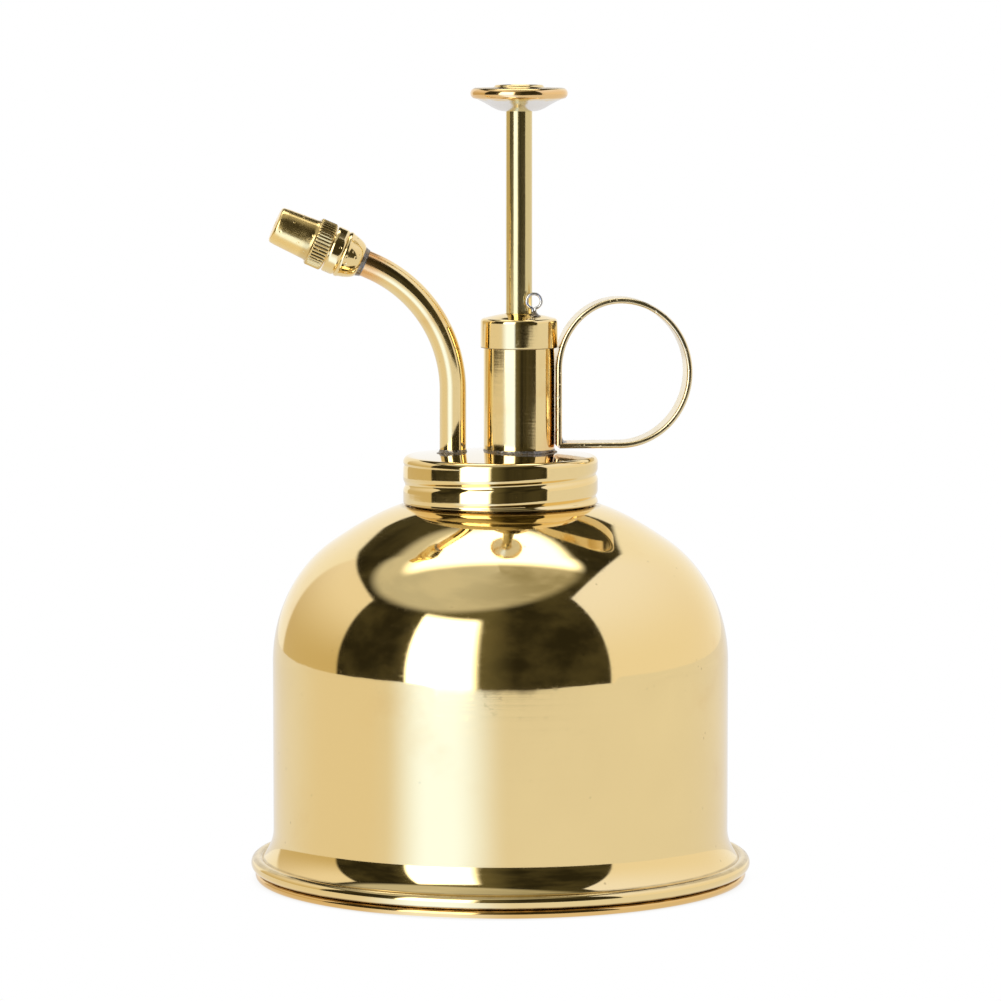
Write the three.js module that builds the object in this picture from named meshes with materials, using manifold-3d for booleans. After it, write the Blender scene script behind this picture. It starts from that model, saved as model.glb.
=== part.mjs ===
// A brass hand mister for plants: a bell-shaped water tank with a screw cap that carries a thumb pump,
// a curved spout with an adjustable nozzle, and a finger loop.
//
// Units are millimetres and +Z is up. The origin is the centre of the foot, on the surface it stands on.
// The finger loop points to +X and the spout to -X. The tank and the cap are turned about the Z axis;
// the pump and the spout stand on the cap, one on each side of it.

import * as THREE from "three";
import { mergeVertices } from "three/addons/utils/BufferGeometryUtils.js";
import Module from "manifold-3d";

const wasm = await Module();
wasm.setup();

// ---------------------------------------------------------------- driving dimensions

const TURN = 2 * Math.PI;
const RUN_GAP = 0.1; // radial gap of a sliding or turning fit
const SEAT_GAP = 0.1; // gap between two pieces that are soldered, screwed or pressed together

const SHEET = 0.8; // brass sheet of the tank and the base
const WALL_R = 45.5; // tank wall
const SHOULDER = { z: 43.7, reach: 25, rise: 28, end: 58.7 }; // oval from the wall inwards, end angle
const SEAT = { r: 19.5, z: 75, slope: -0.3 }; // flat seat round the mouth, and the slope up to it
const FLARE = { r: 8.4, z: 10, end: 42.7 }; // hollow flare: radius, start height and end angle
const BEAD = { x: 48.6, z: 3.2, r: 1.4 }; // rolled bead round the foot
const HEM = { x: 48.3, z: 0.85, r: 0.85 }; // hem of the base plate, under the bead
const BASE_FLOOR_Z = 2.2; // underside of the raised floor

const NECK_BORE_R = 15.5;
const NECK = { spigot: 2.6, threadZ0: SEAT.z + 0.5, z1: 82.4 };

const PITCH = 4.4; // rolled thread between neck and cap
const THREAD_DEPTH = 0.7;
const THREAD_GAP = 0.4;
const THREAD_Z = 80.2; // height of the groove on the -Y side
const CAP_SHEET = 0.7;
const CAP_R = 19.4;
const CAP_Z0 = SEAT.z + 0.3;
const CAP_EDGE_R = 1.2; // rounded top edge
const CAP_EDGE_Z = 84.8; // height of the top at its edge
const CAP_RISE = 1; // how far the top is domed

const PUMP_X = 3.7; // pump axis
const BARREL = { r: 7.05, bore: 6.25, z0: 53.2, z1: 111.3 };
const GLAND = { r: 7.65, z0: 106.3, edgeZ: 112.2, rise: 1.2 };
const ROD_R = 2.6;
const KNOB = { r: 9.7, z0: 153.2, rimZ0: 155.6, rimZ1: 157.8, crownR: 4.4, crownZ: 158.4 };
const PIN = { x: 2.7, y: -3, wire: 0.28, hole: 0.45, z0: 110.6, eyeZ: 115.7, eyeR: 1.45 }; // from the pump axis
const PISTON = { z0: 100.4, z1: 108.4 };
const FLOOR_Z = 55.5; // floor of the pump cylinder

const SPOUT_X = -9.5; // foot of the spout on the cap
const SPOUT = { r: 2.65, bore: 2.05, z0: 79.6, bendZ: 97.9, bendR: 27, straight: 6.8 };
const NOZZLE_TILT = THREE.MathUtils.degToRad(23.7); // nozzle above the horizontal

// Centre line of the finger loop: a half oval on the outside and a tighter quarter oval by the pump.
const LOOP = { x: 23.7, z: 101.3, out: 13.8, rise: 14.4, nearZ: 102, thick: 1.1, width: 7.5 };

const ROUND = 32; // facets round the tank, neck and cap
const SMALL = 20; // facets round the pump and the nozzle

// ---------------------------------------------------------------- shape helpers

const p2 = (x, y) => new THREE.Vector2(x, y);
const p3 = (x, y, z) => new THREE.Vector3(x, y, z);
const degrees = THREE.MathUtils.degToRad;

/** Profile points on an arc from one angle to another, in degrees. An oval has its own height radius. */
function arc(r, z, radius, from, to, steps, radiusZ = radius) {
  return Array.from({ length: steps + 1 }, (_, i) => {
    const angle = degrees(from + ((to - from) * i) / steps);
    return p2(r + radius * Math.cos(angle), z + radiusZ * Math.sin(angle));
  });
}

/** Points from r0, z0 to r1, z1 inclusive. */
function line(r0, z0, r1, z1, steps) {
  return Array.from({ length: steps + 1 }, (_, i) =>
    p2(THREE.MathUtils.lerp(r0, r1, i / steps), THREE.MathUtils.lerp(z0, z1, i / steps)),
  );
}

/** Profile points between two points, with a given slope dz/dr at each end. */
function sweepBetween(from, to, slopeFrom, slopeTo, steps) {
  const run = to.x - from.x;
  return Array.from({ length: steps + 1 }, (_, i) => {
    const t = i / steps;
    const u = 1 - t;
    const ends = (1 + 2 * t) * u * u * from.y + (1 + 2 * u) * t * t * to.y;
    return p2(from.x + run * t, ends + t * u * run * (u * slopeFrom - t * slopeTo));
  });
}

/** A solid turned about +Z. The profile is [radius, height] points, anticlockwise in the r, z plane. */
function turned(profile, segments = SMALL) {
  const points = profile.map((p) => (p.isVector2 ? p : p2(...p)));
  const first = points[0];
  const last = points.at(-1);
  const onAxis = first.x === 0 && last.x === 0;
  if (!onAxis) points.push(first.clone());
  return new THREE.LatheGeometry(points, segments).rotateX(Math.PI / 2);
}

/** A plain tube or ring about +Z, or a rod if bore is 0. */
function ring(r, bore, z0, z1, segments = SMALL) {
  return bore > 0
    ? turned([[bore, z0], [r, z0], [r, z1], [bore, z1]], segments)
    : turned([[0, z0], [r, z0], [r, z1], [0, z1]], segments);
}

/** A closed geometry as a manifold solid. */
function solidOf(geometry) {
  const bare = geometry.index ? geometry.toNonIndexed() : geometry.clone();
  bare.deleteAttribute("normal");
  bare.deleteAttribute("uv");
  const merged = mergeVertices(bare, 1e-4);
  return new wasm.Manifold(
    new wasm.Mesh({
      numProp: 3,
      vertProperties: merged.attributes.position.array,
      triVerts: new Uint32Array(merged.index.array),
    }),
  );
}

/** A manifold solid as a three.js geometry. */
function geometryOf(solid) {
  const mesh = solid.getMesh();
  return new THREE.BufferGeometry()
    .setAttribute("position", new THREE.BufferAttribute(mesh.vertProperties, mesh.numProp))
    .setIndex(new THREE.BufferAttribute(mesh.triVerts, 1));
}

const cut = (body, ...tools) =>
  geometryOf(tools.reduce((whole, tool) => whole.subtract(solidOf(tool)), solidOf(body)));
const join = (body, ...others) =>
  geometryOf(others.reduce((whole, other) => whole.add(solidOf(other)), solidOf(body)));

/** A round bar or tube swept along a curve. */
function swept(path, r, bore, steps, curveSegments = 8) {
  const section = new THREE.Shape().absarc(0, 0, r, 0, TURN, false);
  if (bore > 0) section.holes.push(new THREE.Path().absarc(0, 0, bore, 0, TURN, true));
  return new THREE.ExtrudeGeometry(section, { steps, curveSegments, extrudePath: path });
}

/** An arc in a vertical plane y = constant, turning from one angle to another in degrees. */
class UprightArc extends THREE.Curve {
  constructor(centre, radius, from, to) {
    super();
    Object.assign(this, { centre, radius, from: degrees(from), to: degrees(to) });
  }
  getPoint(t, target = new THREE.Vector3()) {
    const angle = THREE.MathUtils.lerp(this.from, this.to, t);
    return target
      .set(Math.cos(angle), 0, Math.sin(angle))
      .multiplyScalar(this.radius)
      .add(this.centre);
  }
}

/** A right-hand helix about +Z that climbs from z0 to z1 in a number of turns. */
class Helix extends THREE.Curve {
  constructor(radius, z0, z1, turns) {
    super();
    Object.assign(this, { radius, z0, z1, turns });
  }
  getPoint(t, target = new THREE.Vector3()) {
    const angle = TURN * this.turns * t;
    return target.set(
      this.radius * Math.cos(angle),
      this.radius * Math.sin(angle),
      THREE.MathUtils.lerp(this.z0, this.z1, t),
    );
  }
}

/**
 * Presses the shared thread into a turned geometry. depthAt(groove, z) gives how far a vertex moves in,
 * where groove is 1 on the thread's groove line and 0 between its turns.
 */
function threaded(geometry, depthAt) {
  const position = geometry.attributes.position;
  for (let i = 0; i < position.count; i++) {
    const [x, y, z] = [position.getX(i), position.getY(i), position.getZ(i)];
    const r = Math.hypot(x, y);
    const climb = (PITCH * (Math.atan2(y, x) + Math.PI / 2)) / TURN;
    const groove = (0.5 + 0.5 * Math.cos((TURN * (z - THREAD_Z - climb)) / PITCH)) ** 3;
    const scale = (r - depthAt(groove, z, r)) / r;
    if (r > 0) position.setXY(i, x * scale, y * scale);
  }
  return geometry;
}

const fade = (z, z0, z1, width) =>
  THREE.MathUtils.smoothstep(z, z0, z0 + width) * (1 - THREE.MathUtils.smoothstep(z, z1 - width, z1));

// ---------------------------------------------------------------- materials

const finish = (color, roughness, metalness) =>
  new THREE.MeshStandardMaterial({ color, roughness, metalness });
const brass = finish(0xe0b85c, 0.08, 1);
const turnedBrass = finish(0xd8ad50, 0.2, 1);
const steel = finish(0xc8cace, 0.2, 1);
const rubber = finish(0x1c1c1e, 0.7, 0);
const felt = finish(0xcfc6b4, 0.95, 0);
const nylon = finish(0xe9e6da, 0.5, 0);

const mister = new THREE.Group();
mister.name = "hand_mister";

/** Adds one named piece to a group. */
function piece(group, name, geometry, material) {
  const mesh = new THREE.Mesh(geometry, material);
  mesh.name = name;
  group.add(mesh);
  return mesh;
}

// ---------------------------------------------------------------- tank

/** The bell's profile from the edge of the seat down the shoulder, or the same moved inwards. */
function shoulderProfile(inset, steps) {
  const reach = SHOULDER.reach - inset;
  const rise = SHOULDER.rise - inset;
  const oval = arc(WALL_R - SHOULDER.reach, SHOULDER.z, reach, SHOULDER.end, 0, steps, rise);
  const slope = -rise / reach / Math.tan(degrees(SHOULDER.end));
  const edge = p2(SEAT.r - inset / 2, SEAT.z - inset);
  return [...sweepBetween(edge, oval[0], SEAT.slope, slope, 5).slice(0, -1), ...oval];
}

/** The spun bell: seat, shoulder, wall, hollow flare and rolled bead, open at the neck and the foot. */
function tankShell() {
  const flareX = WALL_R + FLARE.r;
  const flareEnd = 180 + FLARE.end;
  const mouthR = NECK_BORE_R + 0.9;
  return turned(
    [
      [mouthR, SEAT.z],
      ...shoulderProfile(0, 8),
      ...arc(flareX, FLARE.z, FLARE.r, 180, flareEnd, 4),
      ...arc(BEAD.x, BEAD.z, BEAD.r, 90, -160, 8),
      ...arc(flareX, FLARE.z, FLARE.r + SHEET, flareEnd, 180, 3),
      ...shoulderProfile(SHEET, 8).reverse(),
      [mouthR, SEAT.z - SHEET],
    ].reverse(),
    ROUND,
  );
}

/** The base plate: a hem with a flat underside and a floor raised clear of the table. */
function basePlate() {
  const riseR = BEAD.x - BEAD.r - 0.6;
  const slopeR = riseR - 2.2;
  const flat = 0.5; // half width of the hem's flat underside
  return turned(
    [
      [0, BASE_FLOOR_Z],
      [slopeR, BASE_FLOOR_Z],
      [riseR, HEM.z - 0.2],
      [HEM.x - flat, 0],
      [HEM.x + flat, 0],
      ...arc(HEM.x, HEM.z, HEM.r, -30, 90, 4),
      [riseR, HEM.z + HEM.r],
      [slopeR - 0.2, BASE_FLOOR_Z + SHEET],
      [0, BASE_FLOOR_Z + SHEET],
    ],
    ROUND,
  );
}

/** The threaded neck: a spigot in the tank's mouth, a foot on the seat, and the rolled thread. */
function neckRing() {
  const crestR = CAP_R - CAP_SHEET - THREAD_GAP;
  const rootR = crestR - THREAD_DEPTH;
  const spigotR = NECK_BORE_R + 0.8;
  const blank = turned(
    [
      [NECK_BORE_R, SEAT.z - NECK.spigot],
      [spigotR, SEAT.z - NECK.spigot],
      [spigotR, SEAT.z + SEAT_GAP],
      [rootR, SEAT.z + SEAT_GAP],
      ...line(crestR, NECK.threadZ0, crestR, NECK.z1, 10),
      [NECK_BORE_R, NECK.z1],
    ],
    ROUND,
  );
  const isThread = (r) => r > crestR - 0.01;
  return threaded(blank, (groove, z, r) =>
    isThread(r) ? THREAD_DEPTH * (1 - (1 - groove) * fade(z, NECK.threadZ0, NECK.z1, 0.9)) : 0,
  );
}

function buildTank() {
  const tank = new THREE.Group();
  piece(tank, "tank_shell", tankShell(), brass);
  piece(tank, "base_plate", basePlate(), brass);
  piece(tank, "neck_ring", neckRing(), brass);
  return tank;
}

// ---------------------------------------------------------------- cap

const holeIn = (x, r) => ring(r + SEAT_GAP, 0, CAP_EDGE_Z - 3, CAP_EDGE_Z + 3).translate(x, 0, 0);

/** The spun cap: domed top, rounded edge, and a skirt with the rolled thread and a hem. */
function capShell() {
  const innerR = CAP_R - CAP_SHEET;
  const edgeX = CAP_R - CAP_EDGE_R;
  const edgeY = CAP_EDGE_Z - CAP_EDGE_R;
  const domed = (r) => CAP_EDGE_Z + CAP_RISE * (1 - (r / edgeX) ** 2);
  const skirtTop = edgeY - 0.1;
  const blank = turned(
    [
      [0, domed(0) - CAP_SHEET],
      [edgeX / 2, domed(edgeX / 2) - CAP_SHEET],
      [edgeX - 0.4, domed(edgeX) - CAP_SHEET],
      ...line(innerR, skirtTop, innerR, CAP_Z0, 12),
      ...line(CAP_R, CAP_Z0, CAP_R, skirtTop, 12),
      ...arc(edgeX, edgeY, CAP_EDGE_R, 20, 90, 3),
      [edgeX / 2, domed(edgeX / 2)],
      [0, domed(0)],
    ],
    ROUND,
  );
  const isSkirt = (r) => r > innerR - 0.01;
  threaded(blank, (groove, z, r) =>
    isSkirt(r) ? THREAD_DEPTH * groove * fade(z, CAP_Z0 + 0.4, skirtTop, 0.9) : 0,
  );
  return cut(blank, holeIn(PUMP_X, BARREL.r), holeIn(SPOUT_X, SPOUT.r));
}

/** The flat sealing washer between the neck's rim and the cap. */
const capGasket = () =>
  ring(CAP_R - CAP_SHEET - THREAD_DEPTH, NECK_BORE_R, NECK.z1 + SEAT_GAP, NECK.z1 + 1.3, ROUND);

// ---------------------------------------------------------------- pump

const pinHole = () => ring(PIN.hole, 0, GLAND.z0, KNOB.z0, 8).translate(PIN.x, PIN.y, 0);

/** The cap on top of the barrel: a sleeve with a domed top and the rod's hole. */
function glandCap() {
  const sleeveR = BARREL.r + SEAT_GAP;
  const hole = ROD_R + RUN_GAP;
  const edge = 0.5;
  const underside = GLAND.edgeZ - SHEET;
  const dome = (r) => GLAND.edgeZ + GLAND.rise * (1 - (r / (GLAND.r - edge)) ** 2);
  const body = turned([
    [hole, dome(hole) - 1],
    [5, underside + 0.45],
    [sleeveR, underside + SEAT_GAP],
    [sleeveR, GLAND.z0],
    [GLAND.r, GLAND.z0],
    ...arc(GLAND.r - edge, GLAND.edgeZ - edge, edge, 0, 80, 2),
    [5, dome(5)],
    [hole, dome(hole)],
  ]);
  return cut(body, pinHole());
}

/** The wire eye that locks the gland cap: a ring on a stem that goes down into the bush. */
function splitPin() {
  const eye = new THREE.TorusGeometry(PIN.eyeR, PIN.wire, 8, 16)
    .rotateX(Math.PI / 2)
    .translate(0, 0, PIN.eyeZ);
  const stem = ring(PIN.wire, 0, PIN.z0, PIN.eyeZ - PIN.eyeR, 8);
  return join(eye, stem).translate(PIN.x, PIN.y, 0);
}

const BUSH = { z0: PISTON.z1 + 0.3, floor: 1.2, recess: 4.9 };

/** The bush that guides the rod, with a recess on top for the packing. */
function glandBush() {
  const r = BARREL.bore - SEAT_GAP;
  const hole = ROD_R + RUN_GAP;
  return turned([
    [hole, BUSH.z0],
    [r, BUSH.z0],
    [r, BARREL.z1],
    [BUSH.recess, BARREL.z1],
    [BUSH.recess, BUSH.z0 + BUSH.floor],
    [hole, BUSH.z0 + BUSH.floor],
  ]);
}

/** The felt packing in the bush, pierced by the pin. */
function glandPacking() {
  const z0 = BUSH.z0 + BUSH.floor + SEAT_GAP;
  const felted = ring(BUSH.recess - SEAT_GAP, ROD_R + RUN_GAP, z0, BARREL.z1 - SEAT_GAP);
  return cut(felted, pinHole());
}

const ROD = { bore: 1.9, tapped: 1.25, into: 2.9, plug: 4 }; // tube, with a tapped plug at its foot

/** The thumb knob: a shallow bowl under a rounded rim, and a low crown with a hollow for the thumb. */
function thumbKnob() {
  const socket = ROD_R + SEAT_GAP;
  const hollow = 0.9;
  const rimHalf = (KNOB.rimZ1 - KNOB.rimZ0) / 2;
  return turned(
    [
      [0, KNOB.rimZ0],
      [socket, KNOB.rimZ0],
      [socket, KNOB.z0],
      [3.6, KNOB.z0],
      [5.6, KNOB.z0 + 0.8],
      [8, KNOB.rimZ0],
      ...arc(KNOB.r - rimHalf, (KNOB.rimZ0 + KNOB.rimZ1) / 2, rimHalf, -75, 75, 5),
      [KNOB.crownR + 1.5, KNOB.rimZ1 - 0.1],
      [KNOB.crownR, KNOB.crownZ],
      [KNOB.crownR - 1, KNOB.crownZ - 0.3],
      [0, KNOB.crownZ - hollow],
    ],
    24,
  );
}

const GROOVE_Z = [PISTON.z0 + 2.2, PISTON.z0 + 5.8]; // centres of the piston's ring grooves
const O_RING = 0.7; // section radius of the piston rings
const SCREW = { r: 1.2, headR: 2.5, headZ0: 0.1, headZ1: 1.5, slot: 0.6 }; // heights from the piston's foot

/** The piston: a turned plug with two ring grooves, screwed to the rod from below. */
function piston() {
  const r = BARREL.bore - 0.2;
  const rootR = BARREL.bore - 2 * O_RING - 0.15;
  const half = O_RING + 0.1;
  const screwHole = 1.3;
  const counterbore = SCREW.headR + 0.2;
  const headSeat = PISTON.z0 + SCREW.headZ1 + SEAT_GAP;
  const socketZ = PISTON.z1 - ROD.into - SEAT_GAP;
  return turned([
    [screwHole, headSeat],
    [counterbore, headSeat],
    [counterbore, PISTON.z0],
    [r, PISTON.z0],
    ...GROOVE_Z.flatMap((z) => [
      [r, z - half],
      [rootR, z - half],
      [rootR, z + half],
      [r, z + half],
    ]),
    [r, PISTON.z1],
    [ROD_R + SEAT_GAP, PISTON.z1],
    [ROD_R + SEAT_GAP, socketZ],
    [screwHole, socketZ],
  ]);
}

const oRing = (radius, section, z) =>
  new THREE.TorusGeometry(radius - section, section, 6, SMALL).translate(0, 0, z);

/** The slotted screw that holds the piston on the rod. */
function pistonScrew() {
  const chamfer = 0.3;
  const bottom = PISTON.z0 + SCREW.headZ0;
  const end = PISTON.z1 + ROD.plug - 1;
  const head = turned([
    [0, bottom],
    [SCREW.headR - chamfer, bottom],
    [SCREW.headR, bottom + chamfer],
    [SCREW.headR, PISTON.z0 + SCREW.headZ1],
    [SCREW.r, PISTON.z0 + SCREW.headZ1],
    [SCREW.r, end],
    [0, end],
  ]);
  const slot = new THREE.BoxGeometry(3 * SCREW.headR, SCREW.slot, 2 * SCREW.slot);
  return cut(head, slot.translate(0, 0, PISTON.z0));
}

/** The rod is a tube with a plugged lower end that takes the piston screw. */
const plungerRod = () =>
  turned([
    [ROD.tapped, PISTON.z1 - ROD.into],
    [ROD_R, PISTON.z1 - ROD.into],
    [ROD_R, KNOB.rimZ0 - SEAT_GAP],
    [ROD.bore, KNOB.rimZ0 - SEAT_GAP],
    [ROD.bore, PISTON.z1 + ROD.plug],
    [ROD.tapped, PISTON.z1 + ROD.plug],
  ]);

const SPRING = { r: 4.85, wire: 0.4, turns: 8 };
const returnSpring = () =>
  swept(
    new Helix(SPRING.r, FLOOR_Z + SPRING.wire + 0.1, PISTON.z0 - SPRING.wire - 0.1, SPRING.turns),
    SPRING.wire,
    0,
    SPRING.turns * 11,
    3,
  );

// ---------------------------------------------------------------- valves and dip tube

const SUCTION = { bore: 1.5, seatZ: 46.6, chamber: 2.5, ballR: 2, lift: 1.2 };
SUCTION.ballZ = SUCTION.seatZ + Math.sqrt(SUCTION.ballR ** 2 - SUCTION.bore ** 2) + SEAT_GAP;
SUCTION.pinZ = SUCTION.ballZ + SUCTION.ballR + SUCTION.lift + 0.5;

const DELIVERY = { bore: 1.15, seatZ: 55.6, chamber: 2.1, ballR: 1.6, lift: 0.9 };
DELIVERY.ballZ = DELIVERY.seatZ + Math.sqrt(DELIVERY.ballR ** 2 - DELIVERY.bore ** 2) + SEAT_GAP;
DELIVERY.pipeZ = DELIVERY.ballZ + DELIVERY.ballR + DELIVERY.lift + 0.1;

const PASSAGE = { z: 51, r: 1.1, x0: SPOUT_X - 3.3 }; // drilled across, from the -X end
const VALVE = { z0: 41, stemR: 3.4, stemZ1: 46, flangeZ0: 49.4, armR: 2.5 };
const HOUSING = { r: 3.5, z0: 48.4, z1: 62.6 }; // the delivery valve's
const DIP_R = 2;
const DIP_IN = 4; // how far the dip tube goes into the valve body
const STRAINER = { r: 3.1, z0: 4.2, z1: 10.5 };

const acrossX = (r, x0, x1, z, segments = 12) =>
  ring(r, 0, x0, x1, segments).rotateY(Math.PI / 2).translate(0, 0, z);

/** The casting under the barrel: suction valve in the middle, delivery valve on the spout's side. */
function valveBody() {
  const middle = turned([
    [0, VALVE.z0],
    [VALVE.stemR, VALVE.z0],
    [VALVE.stemR, VALVE.stemZ1],
    [BARREL.r, VALVE.flangeZ0],
    [BARREL.r, BARREL.z0 - SEAT_GAP],
    [BARREL.bore - SEAT_GAP, BARREL.z0 - SEAT_GAP],
    [BARREL.bore - SEAT_GAP, FLOOR_Z],
    [0, FLOOR_Z],
  ]).translate(PUMP_X, 0, 0);
  const housing = ring(HOUSING.r, 0, HOUSING.z0, HOUSING.z1).translate(SPOUT_X, 0, 0);
  const clearOfBarrel = PUMP_X - BARREL.r - 0.6;
  const size = 20; // of the block that trims the arm under the barrel
  const underBarrel = BARREL.z0 - SEAT_GAP + size / 2;
  const arm = cut(
    acrossX(VALVE.armR, SPOUT_X, PUMP_X - 3, PASSAGE.z),
    new THREE.BoxGeometry(size, size, size).translate(clearOfBarrel + size / 2, 0, underBarrel),
  );
  const suctionHoles = turned([
    [0, VALVE.z0 - 1],
    [DIP_R + SEAT_GAP, VALVE.z0 - 1],
    [DIP_R + SEAT_GAP, VALVE.z0 + DIP_IN],
    [SUCTION.bore, VALVE.z0 + DIP_IN],
    [SUCTION.bore, SUCTION.seatZ],
    [SUCTION.chamber, SUCTION.seatZ],
    [SUCTION.chamber, FLOOR_Z + 1],
    [0, FLOOR_Z + 1],
  ]).translate(PUMP_X, 0, 0);
  const deliveryHoles = turned([
    [0, PASSAGE.z],
    [DELIVERY.bore, PASSAGE.z],
    [DELIVERY.bore, DELIVERY.seatZ],
    [DELIVERY.chamber, DELIVERY.seatZ],
    [DELIVERY.chamber, HOUSING.z1 + 1],
    [0, HOUSING.z1 + 1],
  ]).translate(SPOUT_X, 0, 0);
  const passage = acrossX(PASSAGE.r, SPOUT_X - 5, PUMP_X - 1, PASSAGE.z);
  const pinHole = acrossY(0.5, 8, SUCTION.pinZ).translate(PUMP_X, 0, 0);
  return cut(join(middle, housing, arm), suctionHoles, deliveryHoles, passage, pinHole);
}

const acrossY = (r, half, z, segments = 8) =>
  ring(r, 0, -half, half, segments).rotateX(Math.PI / 2).translate(0, 0, z);

const ballStopPin = () => acrossY(0.4, BARREL.r - 0.3, SUCTION.pinZ).translate(PUMP_X, 0, 0);

/** Screw plug that closes the drilled passage, with a screwdriver slot. */
function passagePlug() {
  const plug = acrossX(PASSAGE.r - 0.05, PASSAGE.x0, SPOUT_X - DELIVERY.bore - 0.3, PASSAGE.z);
  return cut(plug, new THREE.BoxGeometry(1, 4, 0.5).translate(PASSAGE.x0, 0, PASSAGE.z));
}

/** The strainer on the foot of the dip tube: a cup with slots. */
function strainer() {
  const cup = turned([
    [0, STRAINER.z0],
    [STRAINER.r, STRAINER.z0],
    [STRAINER.r, STRAINER.z1],
    [DIP_R + SEAT_GAP, STRAINER.z1],
    [DIP_R + SEAT_GAP, STRAINER.z0 + 0.8],
    [0, STRAINER.z0 + 0.8],
  ]);
  const slots = [0, 1, 2].map((k) =>
    new THREE.BoxGeometry(8, 0.7, 2).rotateZ((k * Math.PI) / 3).translate(0, 0, STRAINER.z0 + 2.2),
  );
  return cut(cup, ...slots).translate(PUMP_X, 0, 0);
}

// ---------------------------------------------------------------- spout, nozzle and loop

/** Centre line of the spout: up from the cap, round the bend, and on into the nozzle. */
function spoutPath() {
  const bendCentre = p3(SPOUT_X - SPOUT.bendR, 0, SPOUT.bendZ);
  const turnBy = 90 - THREE.MathUtils.radToDeg(NOZZLE_TILT);
  const bend = new UprightArc(bendCentre, SPOUT.bendR, 0, turnBy);
  const bendEnd = bend.getPoint(1);
  const onward = p3(-Math.cos(NOZZLE_TILT), 0, Math.sin(NOZZLE_TILT)).multiplyScalar(SPOUT.straight);
  const path = new THREE.CurvePath();
  path.add(new THREE.LineCurve3(p3(SPOUT_X, 0, SPOUT.z0), p3(SPOUT_X, 0, SPOUT.bendZ)));
  path.add(bend);
  path.add(new THREE.LineCurve3(bendEnd, bendEnd.clone().add(onward)));
  return path;
}

// Along the nozzle's own axis, from the spout's end: 0 is the back of the nozzle body.
const NOZZLE = {
  back: 3,
  shoulder: 4.2,
  r: 4.7,
  joint: 6.6,
  stubR: 3.1,
  stubEnd: 13,
  bore: 1.9,
};
const TIP = { z0: 6.85, knurlEnd: 10.3, knurlR: 4.85, rearR: 4.2, frontR: 3.55, end: 18.4, orifice: 0.4 };
const SWIRL = { z0: 11, z1: 15.4 };
const WASHER = { z0: 16.2, z1: 17.1 };

/** The fixed half of the nozzle: a rounded shoulder, a plain band and a stub that carries the tip. */
function nozzleBody() {
  const socket = SPOUT.r + SEAT_GAP;
  const grooveZ = NOZZLE.stubEnd - 1.8;
  return turned([
    [socket, 0],
    [NOZZLE.back, 0],
    [3.6, 0.9],
    [4.3, 2.4],
    [NOZZLE.r, NOZZLE.shoulder],
    [NOZZLE.r, NOZZLE.joint],
    [NOZZLE.stubR, NOZZLE.joint],
    [NOZZLE.stubR, grooveZ - 0.6],
    [NOZZLE.stubR - 0.8, grooveZ - 0.6],
    [NOZZLE.stubR - 0.8, grooveZ + 0.6],
    [NOZZLE.stubR, grooveZ + 0.6],
    [NOZZLE.stubR, NOZZLE.stubEnd],
    [NOZZLE.bore, NOZZLE.stubEnd],
    [NOZZLE.bore, 5],
    [socket, 5],
  ]);
}

/** The adjustable tip: a tapered barrel with a knurled grip, and a small spray hole in its face. */
function nozzleTip() {
  const bore = NOZZLE.stubR + RUN_GAP;
  const edge = 0.5;
  const gripMid = (TIP.z0 + TIP.knurlEnd) / 2;
  const body = turned([
    [bore, TIP.z0],
    [TIP.knurlR - 0.4, TIP.z0],
    [TIP.knurlR - 0.3, gripMid],
    [TIP.knurlR - 0.4, TIP.knurlEnd],
    [TIP.rearR, TIP.knurlEnd],
    ...arc(TIP.frontR - edge, TIP.end - edge, edge, 10, 90, 3),
    [TIP.orifice, TIP.end],
    [TIP.orifice, WASHER.z1 + SEAT_GAP],
    [bore - 0.4, WASHER.z1 + SEAT_GAP],
    [bore - 0.4, NOZZLE.stubEnd + 2],
    [bore, NOZZLE.stubEnd + 2],
  ]);
  const teeth = 24;
  const outline = Array.from({ length: 2 * teeth }, (_, i) => {
    const r = TIP.knurlR - (i % 2 ? 0.35 : 0);
    const angle = (TURN * i) / (2 * teeth);
    return p2(r * Math.cos(angle), r * Math.sin(angle));
  });
  const section = new THREE.Shape(outline);
  section.holes.push(new THREE.Path().absarc(0, 0, TIP.knurlR - 0.8, 0, TURN, true));
  const length = TIP.knurlEnd - TIP.z0 - 0.6;
  const knurl = new THREE.ExtrudeGeometry(section, {
    depth: length,
    bevelEnabled: false,
    curveSegments: 12,
  }).translate(0, 0, TIP.z0 + 0.3);
  return join(body, knurl);
}

/** The swirl core: a plug with angled slots that spins the water before the spray hole. */
function swirlCore() {
  const r = NOZZLE.bore - 0.05;
  const plug = ring(r, 0, SWIRL.z0, SWIRL.z1, 16);
  const slots = [0, 1].map((k) =>
    new THREE.BoxGeometry(0.7, 1, 12)
      .translate(0, r, 0)
      .rotateY(degrees(25))
      .rotateZ(k * Math.PI)
      .translate(0, 0, (SWIRL.z0 + SWIRL.z1) / 2),
  );
  return cut(plug, ...slots);
}

/** The finger loop's outline at an offset from its centre line, as a three.js path or shape. */
function loopOutline(path, offset) {
  const stripX = PUMP_X + BARREL.r + SEAT_GAP + LOOP.thick / 2;
  const left = stripX - offset;
  const bottom = LOOP.z - LOOP.rise - offset;
  const nearRise = LOOP.z + LOOP.rise - LOOP.nearZ + offset;
  path.moveTo(left, bottom);
  path.lineTo(LOOP.x, bottom);
  path.absellipse(LOOP.x, LOOP.z, LOOP.out + offset, LOOP.rise + offset, -Math.PI / 2, Math.PI / 2);
  path.absellipse(LOOP.x, LOOP.nearZ, LOOP.x - left, nearRise, Math.PI / 2, Math.PI);
  path.closePath();
  return path;
}

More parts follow.
